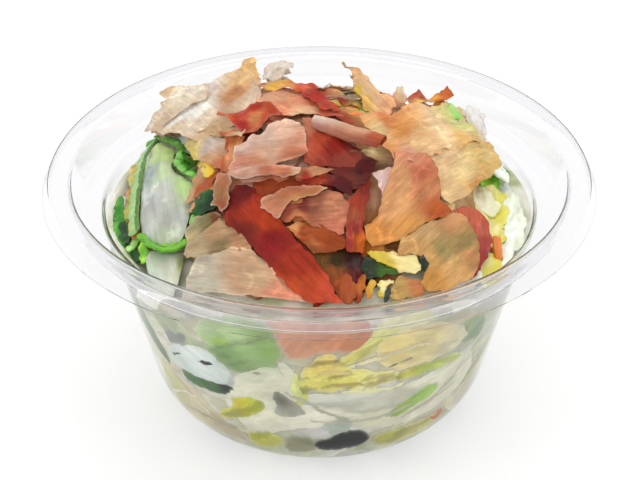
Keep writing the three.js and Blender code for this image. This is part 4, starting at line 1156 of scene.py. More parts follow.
def cabbage_core():
    """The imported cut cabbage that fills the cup, pressed just into its wall."""
    sides = 420
    angle = np.arange(sides) * 2 * math.pi / sides
    floor = CUP_WALL - 0.2
    heights = np.concatenate([[floor], np.linspace(floor + 0.4, CABBAGE_EDGE, 84)])
    ring_r, ring_z = [], []
    for share in np.linspace(0, 1, 20):
        ring_r.append(share * (BASE_RADIUS - 0.5) + 0 * angle)
        ring_z.append(floor + 0 * angle)
    for z in heights[1:]:
        ring_r.append(inner_radius(z) + 0.12 + 0 * angle)
        ring_z.append(z + 0 * angle)
    for share in np.linspace(0.985, 0, 96):
        r = share * (float(inner_radius(CABBAGE_EDGE)) - 0.3)
        x, y = r * np.cos(angle), r * np.sin(angle)
        rough = 1.3 * fractal(x / 5, y / 5, 63) + 0.6 * crumpled(x, y, 66, 0.7)
        rim = smooth(0.9, 1, share)
        ring_r.append(r + 0 * angle)
        top = cabbage_top(x, y) + rough * min(1, share * 8)
        ring_z.append(top * (1 - rim) + rim * (CABBAGE_EDGE + 0.4 + 0.5 * rough))
    ring_r, ring_z = np.array(ring_r), np.array(ring_z)
    rings = np.stack([ring_r * np.sin(angle), -ring_r * np.cos(angle), ring_z], 2)
    x, y, z = rings.reshape(-1, 3).T
    turn = np.arctan2(x, -y) * 45
    mottle = fractal(turn / 6, z / 4, 70) + 0.5 * fractal(x / 4, y / 4, 71)
    colour = blend(rgb(200, 200, 172), rgb(232, 230, 214), smooth(-0.4, 0.4, mottle))
    colour = blend(colour, rgb(176, 184, 140), smooth(0.1, 0.6, fractal(turn / 9, z / 6, 72)))
    colour = blend(colour, rgb(104, 104, 74), smooth(10, 3, z) * 0.7)
    flat = np.stack([turn, z], 1)
    return tube(rings, opaque(colour), flat.reshape(*rings.shape[:2], 2))


# The corners of a cut strip, as shares of half its length and half its width
STRIP_SHAPE = (
    (-1, -0.3), (-0.6, -1), (0.5, -0.8), (1, -0.2), (0.9, 0.5), (0.3, 1), (-0.5, 0.7), (-0.9, 0.4),
)


def slanted(azimuth, z, length, width, turn):
    """The corners [azimuth, z] of a strip on the wall."""
    run = np.array([math.cos(turn), math.sin(turn)])
    side = np.array([-run[1], run[0]])
    corners = []
    for a, b in STRIP_SHAPE:
        place = run * a * length / 2 + side * b * width / 2
        corners.append([azimuth + place[0] / ARC, min(max(z + place[1], 1.6), 51)])
    return corners


def wall_pieces(seed, count, tones, *, sizes, heights, first, span, depth, folds):
    """Strips of stem or leaf against the wall, spread over span degrees from the first azimuth.

    sizes is the range of their lengths and that of their widths, and depth how far in the last one is.
    """
    spread = np.random.default_rng(seed)
    bodies = []
    for k in range(count):
        azimuth = first + span * ((k * 7 + spread.uniform(0, 1)) % count) / count
        z = spread.uniform(*heights)
        turn = spread.normal(0, 0.5)
        corners = slanted(azimuth, z, spread.uniform(*sizes[0]), spread.uniform(*sizes[1]), turn)
        spots = []
        for corner in (corners[0], corners[3], corners[6]):
            tone = np.array(tones[spread.integers(len(tones))]) * spread.uniform(0.88, 1.06)
            spots.append([*corner, *np.clip(tone, 0, 255)])
        bodies.append(wall_body(
            corners, spots, seed + k, depth=depth * k / count, step=0.8, fade=1.4, folds=folds,
            grain=math.degrees(turn),
        ))
    return joined(bodies)


STEM_TONES = [
    (208, 208, 192), (200, 204, 178), (214, 214, 204), (190, 196, 162), (200, 194, 164), (178, 188, 150),
]
LEAF_TONES = [
    (110, 146, 80), (60, 96, 50), (176, 172, 74), (204, 200, 116), (140, 168, 96), (150, 156, 90),
]
piece("cabbage_core", cabbage_core(), wall_flesh, "cabbage", "cabbage_heap")
strips = wall_pieces(
    500, 72, STEM_TONES, sizes=((22, 48), (7, 14)), heights=(3, 50), first=0, span=360, depth=0.09,
    folds=0.14,
)
piece("wall_stems", strips, wall_flesh, "cabbage", "cabbage_heap")
strips = wall_pieces(
    700, 56, LEAF_TONES, sizes=((12, 38), (2, 6.5)), heights=(5, 49), first=60, span=240, depth=0.12,
    folds=0.25,
)
piece("wall_leaves", strips, wall_flesh, "leaf_yellow", "cabbage_heap")

# What shows through the front of the wall, each piece over the one before it, as (slot,
# corners [azimuth, z], spots [azimuth, z, red, green, blue], folds, grain, fade)
FRONT = [
    ("cabbage", [(-60, 26), (-49, 22), (-42, 22), (-35, 16), (-25, 12), (-25, 9), (-35, 8), (-50, 9),
     (-62, 14)], [(-55, 18, 176, 176, 120), (-44, 16, 196, 186, 156), (-34, 12, 170, 160, 130)], 0.2, -30,
     1),
    ("leaf_green", [(-72, 46), (-64, 45), (-58, 36), (-51, 27), (-54, 24), (-62, 30), (-72, 38)],
     [(-67, 40, 110, 130, 70), (-60, 33, 70, 106, 50), (-53, 26, 50, 96, 40)], 0.3, -60, 0.6),
    ("cabbage", [(48, 14), (58, 20), (67, 25), (72, 36), (80, 30), (76, 16), (60, 10)],
     [(55, 13, 186, 180, 156), (70, 26, 196, 196, 180)], 0.15, 40, 1),
    ("leaf_green", [(39, 42), (45, 45), (54, 40), (54, 34), (49, 34), (42, 37)], [(43, 40, 146, 164, 116),
     (51, 35, 120, 140, 100)], 0.3, 20, 0.8),
    ("cabbage", [(-50, 38), (-38, 41), (-40, 37), (-48, 33)], [(-44, 38, 120, 122, 118)], 0.1, 0, 0.8),
    ("cabbage", [(-26, 33), (-10, 41), (-6, 37), (-6, 30), (-2, 26), (20, 28), (44, 32), (52, 32), (56, 21),
     (43, 16), (27, 15), (13, 17), (0, 19), (-18, 14), (-26, 15), (-31, 23)], [(-16, 33, 206, 208, 182),
     (-11, 19, 214, 214, 190), (1, 25, 222, 222, 200), (18, 20, 206, 206, 178), (35, 23, 218, 218, 194),
     (47, 27, 208, 208, 182)], 0.14, 12, 2.4),
    ("cabbage", [(-6, 29), (-2, 30), (20, 29), (31, 27), (30, 24), (19, 21), (-2, 25)],
     [(1, 28, 205, 208, 190), (17, 26, 226, 226, 208), (26, 26, 214, 214, 190)], 0.1, 6, 2),
    ("cabbage", [(-50, 33), (-37, 38), (-30, 39), (-26, 33), (-25, 29), (-30, 26), (-37, 26), (-47, 26),
     (-52, 28)], [(-40, 35, 205, 214, 205), (-29, 31, 200, 210, 200), (-45, 28, 190, 200, 190)], 0.08, -20,
     0.8),
    ("leaf_green", [(-50, 31), (-43, 34), (-42, 32), (-48, 29)], [(-46, 31, 24, 68, 24)], 0.1, 20, 0.3),
    ("leaf_green", [(-39, 33), (-34, 35), (-29, 34), (-34, 32), (-38, 32)], [(-34, 34, 14, 50, 20)], 0.1, 0,
     0.3),
    ("leaf_green", [(-46, 27), (-37, 27.4), (-26, 29), (-26, 26.4), (-31, 24), (-41, 23), (-46, 24)],
     [(-43, 26, 56, 104, 44), (-35, 26, 60, 100, 50), (-27, 27, 10, 44, 18)], 0.2, 5, 0.4),
    ("leaf_green", [(-33, 40), (-21, 45), (-12, 50), (-9, 43), (-12, 38), (-16, 35), (-21, 34), (-26, 33),
     (-31, 37)], [(-27, 39, 122, 150, 96), (-19, 42, 150, 176, 118), (-13, 43, 138, 166, 100),
     (-23, 35, 120, 144, 96), (-16, 37, 146, 168, 118)], 0.2, 20, 1),
    # The next light green piece, high at the left, is partly the leaf's own paler green and partly a
    # painted highlight where the rim's bright reflection lies over it.
    ("leaf_green", [(-35, 46), (-29, 50), (-21, 53), (-12, 51), (-11, 48), (-14, 47), (-21, 43), (-30, 40),
     (-35, 42)], [(-31, 45, 176, 196, 150), (-24, 46, 176, 200, 146), (-14, 49, 140, 168, 96),
     (-27, 42, 150, 186, 84)], 0.12, 10, 0.8),
    ("shaving_pink", [(-14, 53.4), (12, 53.4), (14, 50), (14, 43), (8, 43), (3, 44), (-5, 41), (-9, 41),
     (-12, 50)], [(-10, 52, 206, 150, 120), (-5, 46, 196, 148, 118), (1, 52, 202, 140, 110),
     (8, 49, 206, 146, 106), (13, 50, 196, 120, 90)], 0.15, 60, 1.2),
    ("cabbage", [(14, 48), (28, 49), (42, 43), (47, 36), (31, 34), (20, 35), (15, 41)],
     [(19, 40, 222, 206, 140), (30, 40, 216, 204, 150), (39, 38, 206, 200, 164)], 0.2, -20, 1.6),
    # The next grey piece is painted shade in the gap between the pale stems.
    ("cabbage", [(-14, 29), (-11, 30), (-3, 23), (-6, 22), (-12, 21), (-14, 22), (-13, 25)],
     [(-12, 28, 120, 124, 100), (-6, 23, 170, 172, 150), (-13, 22, 176, 178, 156)], 0.1, -40, 1.4),
    ("leaf_yellow", [(14, 51), (18, 53), (27, 53), (32, 50), (24, 48), (18, 47), (15, 43), (10, 40),
     (5, 38), (3, 40), (8, 43), (12, 47)], [(20, 51, 222, 222, 150), (14, 47, 220, 220, 140),
     (8, 41, 216, 210, 120), (28, 51, 206, 206, 130)], 0.35, 40, 0.5),
    ("leaf_yellow", [(-7, 31), (-6, 35), (-1, 42), (3, 44), (6, 40), (10, 38), (15, 36), (24, 35), (24, 31),
     (16, 31), (20, 28), (13, 29), (7, 31), (1, 30), (-3, 31), (-3, 27), (-6, 25)],
     [(-4, 34, 212, 208, 120), (1, 40, 232, 210, 120), (1, 34, 214, 206, 110), (8, 34, 222, 214, 120),
     (16, 33, 226, 220, 140), (13, 29, 230, 230, 170), (-5, 28, 204, 210, 100)], 0.5, 15, 0.9),
    ("leaf_yellow", [(19, 33), (27, 35), (44, 34), (47, 30), (32, 31), (24, 31)], [(24, 32, 190, 186, 84),
     (32, 33, 178, 192, 84), (43, 33, 196, 206, 120)], 0.3, -5, 0.6),
    ("leaf_green", [(22, 21), (28, 24), (37, 26.5), (40, 22), (31, 20), (23, 18)], [(26, 20, 150, 180, 76),
     (34, 24, 158, 192, 96), (24, 18, 140, 160, 84)], 0.25, 15, 0.5),
    ("leaf_yellow", [(-35, 17), (-28, 21), (-27, 25), (-23, 26), (-19, 26), (-16, 25), (-18, 21), (-25, 18),
     (-33, 15)], [(-25, 23, 186, 180, 60), (-19, 23, 180, 186, 70), (-30, 18, 196, 196, 96)], 0.35, 25,
     0.4),
    ("leaf_yellow", [(-25, 13), (-18, 15), (-12, 14), (-12, 11), (-18, 8), (-24, 9)],
     [(-21, 12, 176, 176, 64), (-14, 12, 180, 180, 96)], 0.3, 10, 0.7),
    ("cabbage", [(-11, 15), (-2, 15), (0, 10), (-6, 8), (-12, 8)], [(-7, 12, 140, 140, 112)], 0.2, 0, 0.8),
    ("leaf_yellow", [(17, 13), (28, 14), (40, 14), (44, 9), (32, 8), (20, 8)], [(23, 11, 170, 170, 84),
     (36, 11, 190, 186, 120)], 0.3, 5, 0.8),
    ("carrot", [(38, 14), (46, 14), (46, 11), (41, 11)], [(43, 12, 186, 110, 56)], 0.1, 0, 0.5),
    ("cabbage", [(1, 19), (6, 21), (11, 19), (9, 16), (4, 15), (2, 17)], [(5, 18, 170, 180, 164)], 0.1, 0,
     0.8),
    ("leaf_green", [(-2, 13), (4, 15), (8, 17), (15, 15.5), (17, 12), (12, 10), (5, 9), (-1, 10)],
     [(4, 12, 12, 20, 14), (12, 14, 18, 36, 20), (15, 12, 10, 18, 10)], 0.1, 0, 0.7),
]

# Narrow ribs, edges of leaf and streaks over those, as (slot, path of [azimuth, z], width, colour)
RIBS = [
    ("leaf_yellow", [(-6.5, 36.5), (-7, 33), (-6, 28.5), (-4, 26)], 1.7, (216, 222, 140)),
    ("cabbage", [(6.5, 30), (12.5, 30), (20, 29), (25, 30)], 1.2, (228, 228, 172)),
    ("leaf_yellow", [(-1.5, 35.5), (3.5, 37.5), (8.5, 36)], 1.5, (232, 212, 126)),
    ("leaf_yellow", [(0, 31.5), (5.5, 33), (13, 32), (20.5, 32)], 1.1, (186, 174, 76)),
    ("cabbage", [(8, 38.5), (15, 40), (25.5, 42), (34, 40.5)], 1.3, (228, 218, 168)),
    ("leaf_green", [(19, 36.5), (26.5, 38)], 0.4, (90, 80, 40)),
    # The next pale streak lies where the rim's bright reflection falls: partly a pale edge of leaf, partly
    # a painted highlight.
    ("leaf_yellow", [(17, 46.5), (24.5, 49), (31, 49)], 1.1, (236, 236, 186)),
    # The next three grey streaks are painted shade, in the crease between the white stems and along their
    # lower edges.
    ("cabbage", [(-10.5, 30), (-4.5, 27), (1.5, 23.5), (9.5, 20)], 0.9, (174, 176, 150)),
    ("cabbage", [(-3, 20.5), (9.5, 19), (21.5, 19.5), (33, 22.5)], 1.0, (184, 184, 156)),
    ("cabbage", [(26.5, 17.5), (35.5, 19.5), (45, 23.5), (48.5, 28.5)], 0.9, (176, 176, 146)),
    ("cabbage", [(-23, 33.5), (-12.5, 38), (-10, 35)], 1.8, (200, 208, 176)),
    ("cabbage", [(-58, 14), (-45, 19.5), (-38.5, 15)], 0.7, (218, 216, 190)),
    ("cabbage", [(-52.5, 12.5), (-41.5, 13), (-29, 13)], 0.7, (150, 146, 106)),
    ("cabbage", [(34, 18.5), (40, 20), (47, 21.5)], 0.9, (216, 208, 176)),
    ("cabbage", [(28.5, 13.5), (35.5, 13.5), (42.5, 13.5)], 0.7, (208, 198, 126)),
]


def rib(path, width):
    """The corners [azimuth, z] of a narrow strip that follows a path on the wall and tapers to its ends."""
    scale = np.array([ARC, 1.0])
    line = np.array(path, float) * scale
    half = np.full(len(line), width / 2)
    half[[0, -1]] *= 0.4
    return np.concatenate([moved_left(line, half), moved_left(line, -half)[::-1]]) / scale


pieces_in_front = len(FRONT)
for kind, path, width, tone in RIBS:
    FRONT.append((kind, rib(path, width), [(*path[0], *tone), (*path[-1], *tone)], 0.1, 0, 0.35))
for slot in ("cabbage", "leaf_green", "leaf_yellow", "shaving_pink", "carrot"):
    bodies = []
    for k, (kind, corners, spots, folds, grain, fade) in enumerate(FRONT):
        if kind == slot:
            bodies.append(wall_body(
                corners, spots, 800 + k, depth=0.1 + 0.009 * k, step=0.5 if k < pieces_in_front else 0.3,
                folds=folds, grain=grain, fade=fade,
            ))
    piece("wall_front_" + slot, joined(bodies), wall_flesh, slot, "cabbage_heap")

# Stems that lie at the back and the sides, as (start, end, width)
BACK_STEMS = [
    ((-42, 20, 51), (-24, 39, 51), 9), ((-28, 33, 53), (-8, 44, 52), 8), ((-12, 36, 55), (10, 40, 53), 9),
    ((4, 44, 52), (24, 38, 53), 8), ((18, 30, 58), (34, 24, 54), 9), ((30, 35, 51), (44, 16, 51), 7),
    ((42, 14, 50), (46, -8, 49), 7), ((-46, 8, 49), (-45, -18, 49), 6),
]
looks = (WHITE_STEM, PALE_STEM, WHITE_STEM * 0.9)
stems = []
for k, (start, end, width) in enumerate(BACK_STEMS):
    stems.append(stick(start, end, width, 0.45 * width, looks, 60 + k, bow=1.5, rough=0.35))
piece("stems_back", joined(stems), stem_flesh, "stem", "cabbage_heap")


SCATTER_TONES = [
    (206, 214, 180), (224, 226, 200), (120, 168, 70), (190, 196, 96), (214, 210, 140), (70, 120, 50),
    (226, 230, 220),
]


def scattered_leaves(seed, count):
    """Bits of leaf and stem on the cabbage behind the shavings, lying every way."""
    spread = np.random.default_rng(seed)
    bodies = []
    for k in range(count):
        angle = math.radians(spread.uniform(10, 175))
        r = spread.uniform(28, 47)
        run = spread.uniform(4, 10)
        turn = spread.uniform(0, math.pi)
        corners = []
        for k_corner in range(7):
            way = k_corner * 2 * math.pi / 7
            a = run * math.cos(way) * spread.uniform(0.7, 1.1)
            b = 0.45 * run * math.sin(way) * spread.uniform(0.6, 1.2)
            x = r * math.cos(angle) + a * math.cos(turn) - b * math.sin(turn)
            y = r * math.sin(angle) + a * math.sin(turn) + b * math.cos(turn)
            inward = min(1, 49 / math.hypot(x, y))
            x, y = x * inward, y * inward
            corners.append([x, y, float(cabbage_top(x, y)) + spread.uniform(0.2, 1.6)])
        tone = np.array(SCATTER_TONES[spread.integers(len(SCATTER_TONES))])
        spots = [[*c, *np.clip(tone * spread.uniform(0.85, 1.1), 0, 255)] for c in corners[::3]]
        bodies.append(sheet_body(
            corners, spots, seed + k, ground=cabbage_top, rest=0, soft=1, ragged=0.7, crumple=0.9,
            curl=0.6, size=0.5, thickness=0.5, step=0.7,
        ))
    return joined(bodies)


piece("leaves_back", scattered_leaves(900, 46), leaf_flesh, "leaf_yellow", "cabbage_heap")


def stem_slab(outline, paint, seed, **shape):
    """A thick smooth slab of stem: a sheet with a domed top and a green edge."""
    given = dict(rest=None, soft=2, ragged=0.1, crumple=0.12, curl=0, dome=1.6, thickness=2.6, size=1.5)
    given["rim"] = rgb(150, 180, 124)
    return sheet_body(outline, paint, seed, **dict(given, **shape))


STEM = [
    (-39, 20, 58), (-41, 13, 58), (-41.5, 5.5, 58.5), (-41.5, -3.5, 58), (-41.5, -12.5, 56.5),
    (-40.5, -19.5, 55.5), (-39, -22, 55.5), (-36.5, -25, 56), (-34, -26, 56), (-32, -25.5, 57),
    (-30.5, -23, 58), (-30, -19.5, 59), (-29.2, -15, 60.5), (-28.6, -9.5, 62), (-29.5, -6, 62.3),
    (-33, -2.5, 62), (-35, 1.5, 61.5), (-34.5, 6, 61.3), (-34.5, 11, 61), (-37, 15, 60),
]
STEM_PAINT = [
    (-40, 1, 59, 128, 138, 136), (-36.5, 8.5, 60.5, 160, 178, 110), (-35.5, 0.5, 61, 172, 184, 140),
    (-35, -8.5, 60, 174, 174, 164), (-38, -10, 58.5, 162, 164, 160), (-33.5, -18, 58.5, 156, 160, 150),
    (-38.5, -18, 56.5, 176, 180, 172), (-31, -8, 62, 164, 190, 120), (-34.5, -23, 56.5, 156, 168, 142),
]
piece("stem_left", stem_slab(STEM, STEM_PAINT, 51), stem_flesh, "stem", "stem_left")
LOW_STEM = [
    (-39.5, -20.5, 53), (-34.5, -24, 53.5), (-31.5, -23.5, 54.5), (-30.5, -25.5, 54), (-31.5, -32.5, 52),
    (-32, -37, 50), (-36.5, -34, 50), (-39.5, -26, 52),
]
LOW_PAINT = [
    (-37, -25, 53, 186, 198, 174), (-33, -28, 53, 206, 210, 196), (-34, -34, 50, 198, 204, 184),
    (-31, -28, 53, 140, 134, 70),
]
piece("stem_low_left", stem_slab(LOW_STEM, LOW_PAINT, 52, dome=1.0), stem_flesh, "stem", "stem_low_left")

LEFT_FRILL = [
    (-38.5, 22, 58.5), (-41, 15, 58.6), (-41.8, 7, 58.6), (-41.8, -3.5, 58.2), (-41.8, -12.5, 57),
    (-41, -18, 56.4),
]
RIGHT_FRILL = [
    (-40.8, 20.5, 58.6), (-39.5, 20, 59.2), (-37, 15, 61), (-34, 11, 62.2), (-33.8, 5.5, 62.6),
    (-34.6, 1.5, 62.8), (-32.5, -3, 63.2), (-29.2, -6.5, 63.6), (-28.3, -10, 63.2), (-28.6, -16, 61.6),
    (-29.8, -21.5, 59.4),
]
BAND = [
    (-40, -19, 56.4), (-38, -22.5, 56.6), (-36, -25, 56.8), (-34, -26.3, 57), (-32, -25.3, 57.2),
    (-30.5, -23.5, 57.8),
]
# Ruffles round the stem, as (path, reach, looks at its root, middle and edge, seed, shape)
FRILLS = [
    (LEFT_FRILL, 2.6, ((120, 160, 80), (160, 196, 126), (140, 184, 100)), 58, dict(ruffle=0.25, rise=-0.4)),
    (LEFT_FRILL, 1.0, ((96, 134, 60), (72, 110, 44), (96, 134, 60)), 53, dict(ruffle=0.1, rise=0.2)),
    (RIGHT_FRILL, -3.0, ((150, 204, 100), (92, 172, 58), (54, 112, 34)), 54,
     dict(ruffle=0.9, thickness=0.6)),
    (RIGHT_FRILL, -1.7, ((176, 218, 124), (126, 194, 80), (84, 160, 50)), 59, dict(ruffle=0.7, rise=0.5)),
    (BAND, 2.0, ((136, 196, 40), (112, 182, 30), (70, 140, 26)), 55,
     dict(ruffle=0.5, droop=0.1, thickness=0.6)),
    (BAND, -1.0, ((150, 204, 50), (136, 196, 40), (90, 160, 40)), 60, dict(ruffle=0.3, droop=0.1)),
]
frills = []
for path, reach, looks, seed, shape in FRILLS:
    frills.append(frill(path, reach, [rgb(*look) for look in looks], seed, **shape))
piece("stem_left_frill", joined(frills), leaf_flesh, "leaf_green", "stem_left")
looks = (rgb(206, 130, 60),) * 3
carrot = stick((-45, 6, 52.5), (-43.5, -9, 52), 2.6, 2.4, looks, 56, rough=0.4)
piece("carrot_left", carrot, carrot_flesh, "carrot", "carrot_left")
looks = (rgb(230, 130, 30),) * 3
carrot = stick(
    (40.6, -17.5, 54), (40.6, -25.5, 52.8), 2, 2.6, looks, 57, square=0.7, taper=1.4, rough=0.5,
)
piece("carrot_right", carrot, carrot_flesh, "carrot", "carrot_right")

# Looks of leaf: the colour of its left side, its right side and its edge
GREEN_LEAF = ((92, 168, 50), (60, 134, 40), (34, 84, 34))
DARK_LEAF = ((30, 72, 34), (22, 48, 26), (70, 130, 50))
LIME_LEAF = ((160, 208, 70), (120, 184, 60), (90, 150, 50))
YELLOW_LEAF = ((232, 228, 160), (214, 206, 84), (190, 180, 64))
CREAM_LEAF = ((240, 236, 204), (228, 228, 190), (206, 214, 150))
OLIVE_LEAF = ((196, 186, 96), (176, 168, 80), (140, 150, 60))
WHITE_LEAF = ((232, 238, 222), (222, 230, 206), (200, 216, 180))
BLACK_LEAF = ((16, 22, 18), (26, 36, 26), (20, 60, 30))
BROWN_LEAF = ((140, 70, 36), (164, 84, 50), (100, 44, 26))
RED_STRAND = ((150, 60, 34), (190, 110, 50), (110, 40, 26))
AMBER_STRAND = ((196, 130, 50), (214, 176, 70), (150, 96, 40))
FRONT_YELLOW = ((192, 168, 52), (224, 208, 146), (160, 136, 54))
FRONT_DARK = ((40, 48, 26), (62, 96, 34), (22, 34, 20))
TAN_LEAF = ((172, 140, 84), (180, 112, 72), (130, 112, 66))
PALE_GREEN_LEAF = ((164, 210, 120), (146, 196, 96), (110, 160, 70))
ORANGE_LEAF = ((216, 134, 62), (206, 124, 70), (180, 110, 60))
OLIVE_STRIP = ((178, 162, 84), (186, 146, 76), (120, 150, 60))

# Bits of leaf at the rim: (name, corners [x, y, z], look, slot, node)
LEAVES = [
    ("leaf_right", [(34, -6, 57), (37.5, 1.5, 56), (40, 2, 56), (43, 3.5, 54.5), (44.5, 0, 54),
     (43.5, -9.5, 54), (41.5, -19.5, 53.5), (39.5, -19, 54.5), (37, -10, 55.5)], YELLOW_LEAF, "leaf_yellow",
     "leaf_right"),
    ("leaf_right_top", [(33.5, -4, 57.5), (35.5, -0.5, 57.5), (37.5, 2.5, 57), (40, -2, 57),
     (42.5, -8, 55.5), (39.5, -10.5, 55.5), (36, -7, 56.5)], CREAM_LEAF, "leaf_yellow", "leaf_right"),
    ("leaf_right_edge", [(37.5, 2.5, 56.5), (39.5, 7.5, 56.5), (42, 11.5, 56), (43, 7, 55), (43, 2, 54.5),
     (40, 0.5, 56)], LIME_LEAF, "leaf_green", "cabbage_heap"),
    ("leaf_right_low", [(39.5, -13, 55), (42.5, -11, 54.5), (42.5, -19.5, 53.5), (40, -21, 54),
     (38, -22.5, 54)], YELLOW_LEAF, "leaf_yellow", "cabbage_heap"),
    ("leaf_pale_right", [(44, 4, 55), (47, 1, 54.5), (48, -8, 54), (47, -18, 53), (43.5, -25, 52.5),
     (40, -28, 52), (41, -22, 53), (42.5, -15.5, 53.5), (43, -6, 54)], WHITE_LEAF, "leaf_yellow",
     "cabbage_heap"),
    ("leaf_cream_right", [(36, -26, 54), (39, -23, 54), (42, -26.5, 52), (39, -30.5, 51.5),
     (34.5, -33, 52)], YELLOW_LEAF, "leaf_yellow", "cabbage_heap"),
    ("leaf_front", [(10.5, -33.5, 61), (13.5, -33, 60.5), (17.5, -32.5, 60), (22, -33.5, 58.8),
     (22.3, -35, 57.8), (22, -36.5, 57), (19.5, -37.5, 57), (14.5, -36.5, 58.5), (10.5, -34.5, 60)],
     FRONT_YELLOW, "leaf_yellow", "leaf_front"),
    ("leaf_black_end", [(22, -33.5, 59.2), (23, -33, 59.4), (23.5, -34, 59), (24.3, -34.7, 58.4),
     (23.5, -36, 57.6), (22.5, -36.5, 57.2), (22, -35, 58.4)], BLACK_LEAF, "leaf_green", "leaf_dark_front"),
    ("leaf_dark_front", [(9.5, -34, 60), (12, -35, 59), (14.5, -35.5, 58.4), (18.4, -36, 57.4),
     (17, -37.2, 57), (14.5, -38, 57), (12, -38.5, 56.5), (10, -39, 57), (8.5, -37.5, 57.5)], FRONT_DARK,
     "leaf_green", "leaf_dark_front"),
    ("leaf_curl_front", [(12.5, -39, 56.5), (14.5, -38.5, 56.5), (16.5, -38, 56.4), (17, -39.5, 55.5),
     (15, -39.7, 56), (14.5, -41, 55.4), (14, -43.5, 54.2), (12.5, -43.5, 54.5), (12.5, -42, 55)],
     FRONT_YELLOW, "leaf_yellow", "cabbage_heap"),
    ("leaf_olive_front", [(15.5, -40.5, 55.6), (17, -38.5, 56.6), (21, -37.5, 56), (22.5, -38, 55.5),
     (24, -40, 54.4), (22, -41.4, 54), (18.5, -42.4, 54), (16, -43, 54)], TAN_LEAF, "shaving_tan",
     "cabbage_heap"),
    # The next black sheet fills the gap between the front pieces: painted shadow.
    ("painted_shadow_gap_front", [(14.5, -40, 55.6), (16, -40.5, 55.4), (16, -43, 54), (13.8, -43.6, 53.8)],
     BLACK_LEAF, "leaf_green", "cabbage_heap"),
    ("leaf_brown_front", [(4, -38, 57), (7, -37.8, 57.4), (8.4, -40, 56.4), (7.6, -44.6, 54.2),
     (4, -45, 54)], BROWN_LEAF, "shaving_tan", "cabbage_heap"),
    ("strand_red_front", [(8.6, -38.4, 57.6), (10.6, -38.6, 57.6), (9.8, -42, 56), (9, -44.6, 54.8),
     (7.8, -44.4, 54.8)], RED_STRAND, "shaving_tan", "cabbage_heap"),
    ("strand_amber_front", [(11.4, -39, 57.4), (12.4, -39.4, 57.2), (11.8, -42.4, 55.8),
     (10.6, -44.6, 54.8), (10, -43, 55.8)], AMBER_STRAND, "shaving_tan", "cabbage_heap"),
    ("strip_olive_left", [(-46, 14, 54), (-44.5, 14.8, 54.6), (-43.5, 12.5, 55.2), (-42.5, 4.5, 55.6),
     (-42.6, -2.5, 55), (-42.4, -9.5, 54.2), (-44.5, -9, 53.6), (-45.8, -6, 53.6), (-45, -1.5, 54.2),
     (-45.5, 6.5, 54.2)], OLIVE_STRIP, "leaf_yellow", "cabbage_heap"),
    ("green_left", [(-48.5, 1.5, 52), (-47.5, 3, 52.5), (-46, 1.5, 53), (-46, -2.5, 52.5), (-45, -7, 52.5),
     (-44.5, -14.5, 52), (-44.5, -19, 51.5), (-46.5, -15, 51.5), (-48, -10, 51.5)], GREEN_LEAF,
     "leaf_green", "cabbage_heap"),
    ("dark_left", [(-46.5, -9, 53), (-44.6, -10, 53.4), (-43.6, -15, 53), (-44.4, -18.6, 52.4),
     (-46.2, -15, 52.4)], DARK_LEAF, "leaf_green", "cabbage_heap"),
    ("lime_left", [(-44.5, -19, 51.8), (-43.5, -16.5, 52.4), (-42, -16, 53.2), (-41.5, -17.5, 53),
     (-43.5, -20.5, 51.8)], PALE_GREEN_LEAF, "leaf_green", "cabbage_heap"),
    ("orange_left", [(-44, -13.5, 53.6), (-43, -11.5, 54), (-41.8, -14, 54), (-42.2, -16.5, 53.4),
     (-43.2, -16.5, 53.4)], ORANGE_LEAF, "carrot", "cabbage_heap"),
    ("dark_low_left", [(-43.5, -20, 51.4), (-42.5, -17.5, 52), (-40.5, -19.5, 52.4), (-40.5, -24, 51.4),
     (-41.8, -23, 51)], DARK_LEAF, "leaf_green", "cabbage_heap"),
    ("green_low_left", [(-41.5, -18.5, 53), (-39.5, -18.5, 53.6), (-39, -22, 53), (-39.5, -25.5, 52),
     (-40.6, -24.5, 52)], LIME_LEAF, "leaf_green", "cabbage_heap"),
    ("yellow_mid", [(-28.5, -3.5, 66), (-25.5, -5, 68.4), (-23.5, -9, 68), (-24.5, -12, 66.8),
     (-27, -9, 65.6)], ((214, 196, 84), (226, 180, 50), (190, 160, 60)), "leaf_yellow", "cabbage_heap"),
    ("dark_mid", [(-28.6, -13.5, 62.6), (-26, -14.5, 64.6), (-23, -15.5, 66), (-22, -18.5, 65),
     (-25, -21, 62.6), (-28.6, -20, 61)], DARK_LEAF, "leaf_green", "cabbage_heap"),
    ("green_crown", [(7.5, 0.5, 77), (11, 1.5, 78), (12.5, -1, 78), (9, -2.5, 77.5)], GREEN_LEAF,
     "leaf_green", "cabbage_heap"),
    ("lime_back", [(28.5, 12.5, 72), (31, 13.2, 72.4), (33.5, 12, 70.6), (33.6, 9, 69.8), (30, 8.5, 71)],
     PALE_GREEN_LEAF, "leaf_green", "cabbage_heap"),
    ("white_right", [(36, 16, 60), (43, 14, 56), (46, 4, 55), (41, 4, 58)], WHITE_LEAF, "leaf_yellow",
     "cabbage_heap"),
    ("white_low_right", [(30, -26, 57), (38, -30, 53), (31, -38, 52), (25, -38, 55)], WHITE_LEAF,
     "leaf_yellow", "cabbage_heap"),
    ("green_back_right", [(10, 34, 59), (24, 32, 59), (26, 40, 54), (12, 43, 54)], GREEN_LEAF, "leaf_green",
     "cabbage_heap"),
    ("yellow_back", [(-22, 36, 56), (-8, 38, 57), (-8, 46, 53), (-22, 44, 53)], YELLOW_LEAF, "leaf_yellow",
     "cabbage_heap"),
    ("green_back_left", [(-42, 24, 54), (-32, 30, 57), (-33, 38, 53), (-43, 28, 53)], GREEN_LEAF,
     "leaf_green", "cabbage_heap"),
    ("olive_back", [(28, 28, 58), (36, 20, 58), (43, 24, 53), (32, 37, 53)], OLIVE_LEAF, "leaf_yellow",
     "cabbage_heap"),
]
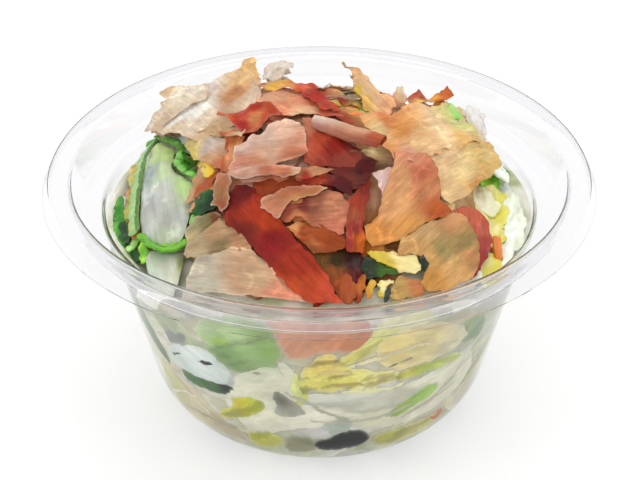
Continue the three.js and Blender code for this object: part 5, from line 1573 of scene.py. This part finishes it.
for k, (name, corners, look, slot, node) in enumerate(LEAVES):
    middle = np.mean(corners, axis=0)[0]
    paint = [(*place, *look[place[0] > middle]) for place in corners]
    body = sheet_body(
        corners, paint, 120 + k, ground=cabbage_top, rest=0, soft=1, ragged=0.6, crumple=0.8,
        curl=0.5, size=0.4, thickness=0.45, rim=rgb(*look[2]), rim_width=0.6, step=0.4,
    )
    piece(name, body, dried if slot == "shaving_tan" else leaf_flesh, slot, node)

# ---- Room, light and camera -------------------------------------------------------------------------

scene = bpy.context.scene
scene.view_settings.view_transform = "Standard"


def lamp(name, place, size, power):
    """A soft box, aimed at the cup."""
    data = bpy.data.lights.new(name, "AREA")
    data.shape = "RECTANGLE"
    data.size, data.size_y = size
    data.energy = power
    thing = bpy.data.objects.new(name, data)
    thing.location = place
    thing.rotation_euler = (Vector(LAMP_AIM) - Vector(place)).to_track_quat("-Z", "Y").to_euler()
    scene.collection.objects.link(thing)


bpy.ops.mesh.primitive_plane_add(size=FLOOR_SIZE)
floor = bpy.context.object
floor.name = "floor"
paper, _, shader = new_material("floor_white")
settle(
    shader, Base_Color=(FLOOR_WHITE, FLOOR_WHITE, FLOOR_WHITE, 1), Roughness=0.9, Specular_IOR_Level=0.1,
    Emission_Color=(1, 1, 1, 1), Emission_Strength=FLOOR_GLOW,
)
floor.data.materials.append(paper)

scene.world = bpy.data.worlds.new("studio")
scene.world.use_nodes = True
settle(scene.world.node_tree.nodes["Background"], Color=(1, 1, 1, 1), Strength=STUDIO_LIGHT)

lamp("over", (0.1, 0.25, 0.9), (0.7, 0.5), 1.8)
lamp("front", (-0.1, -0.8, 0.7), (0.6, 0.4), 1.2)
lamp("left", (-0.55, -0.25, 0.35), (0.12, 0.45), 0.6)
lamp("right", (0.5, -0.35, 0.4), (0.12, 0.45), 0.4)

camera = bpy.data.objects.new("camera", bpy.data.cameras.new("camera"))
camera.data.lens = CAMERA_LENS
camera.data.clip_start = 0.01
camera.location = [n * MM for n in CAMERA_PLACE]
camera.rotation_euler = (math.radians(90 - CAMERA_PITCH), 0, 0)
scene.collection.objects.link(camera)
scene.camera = camera
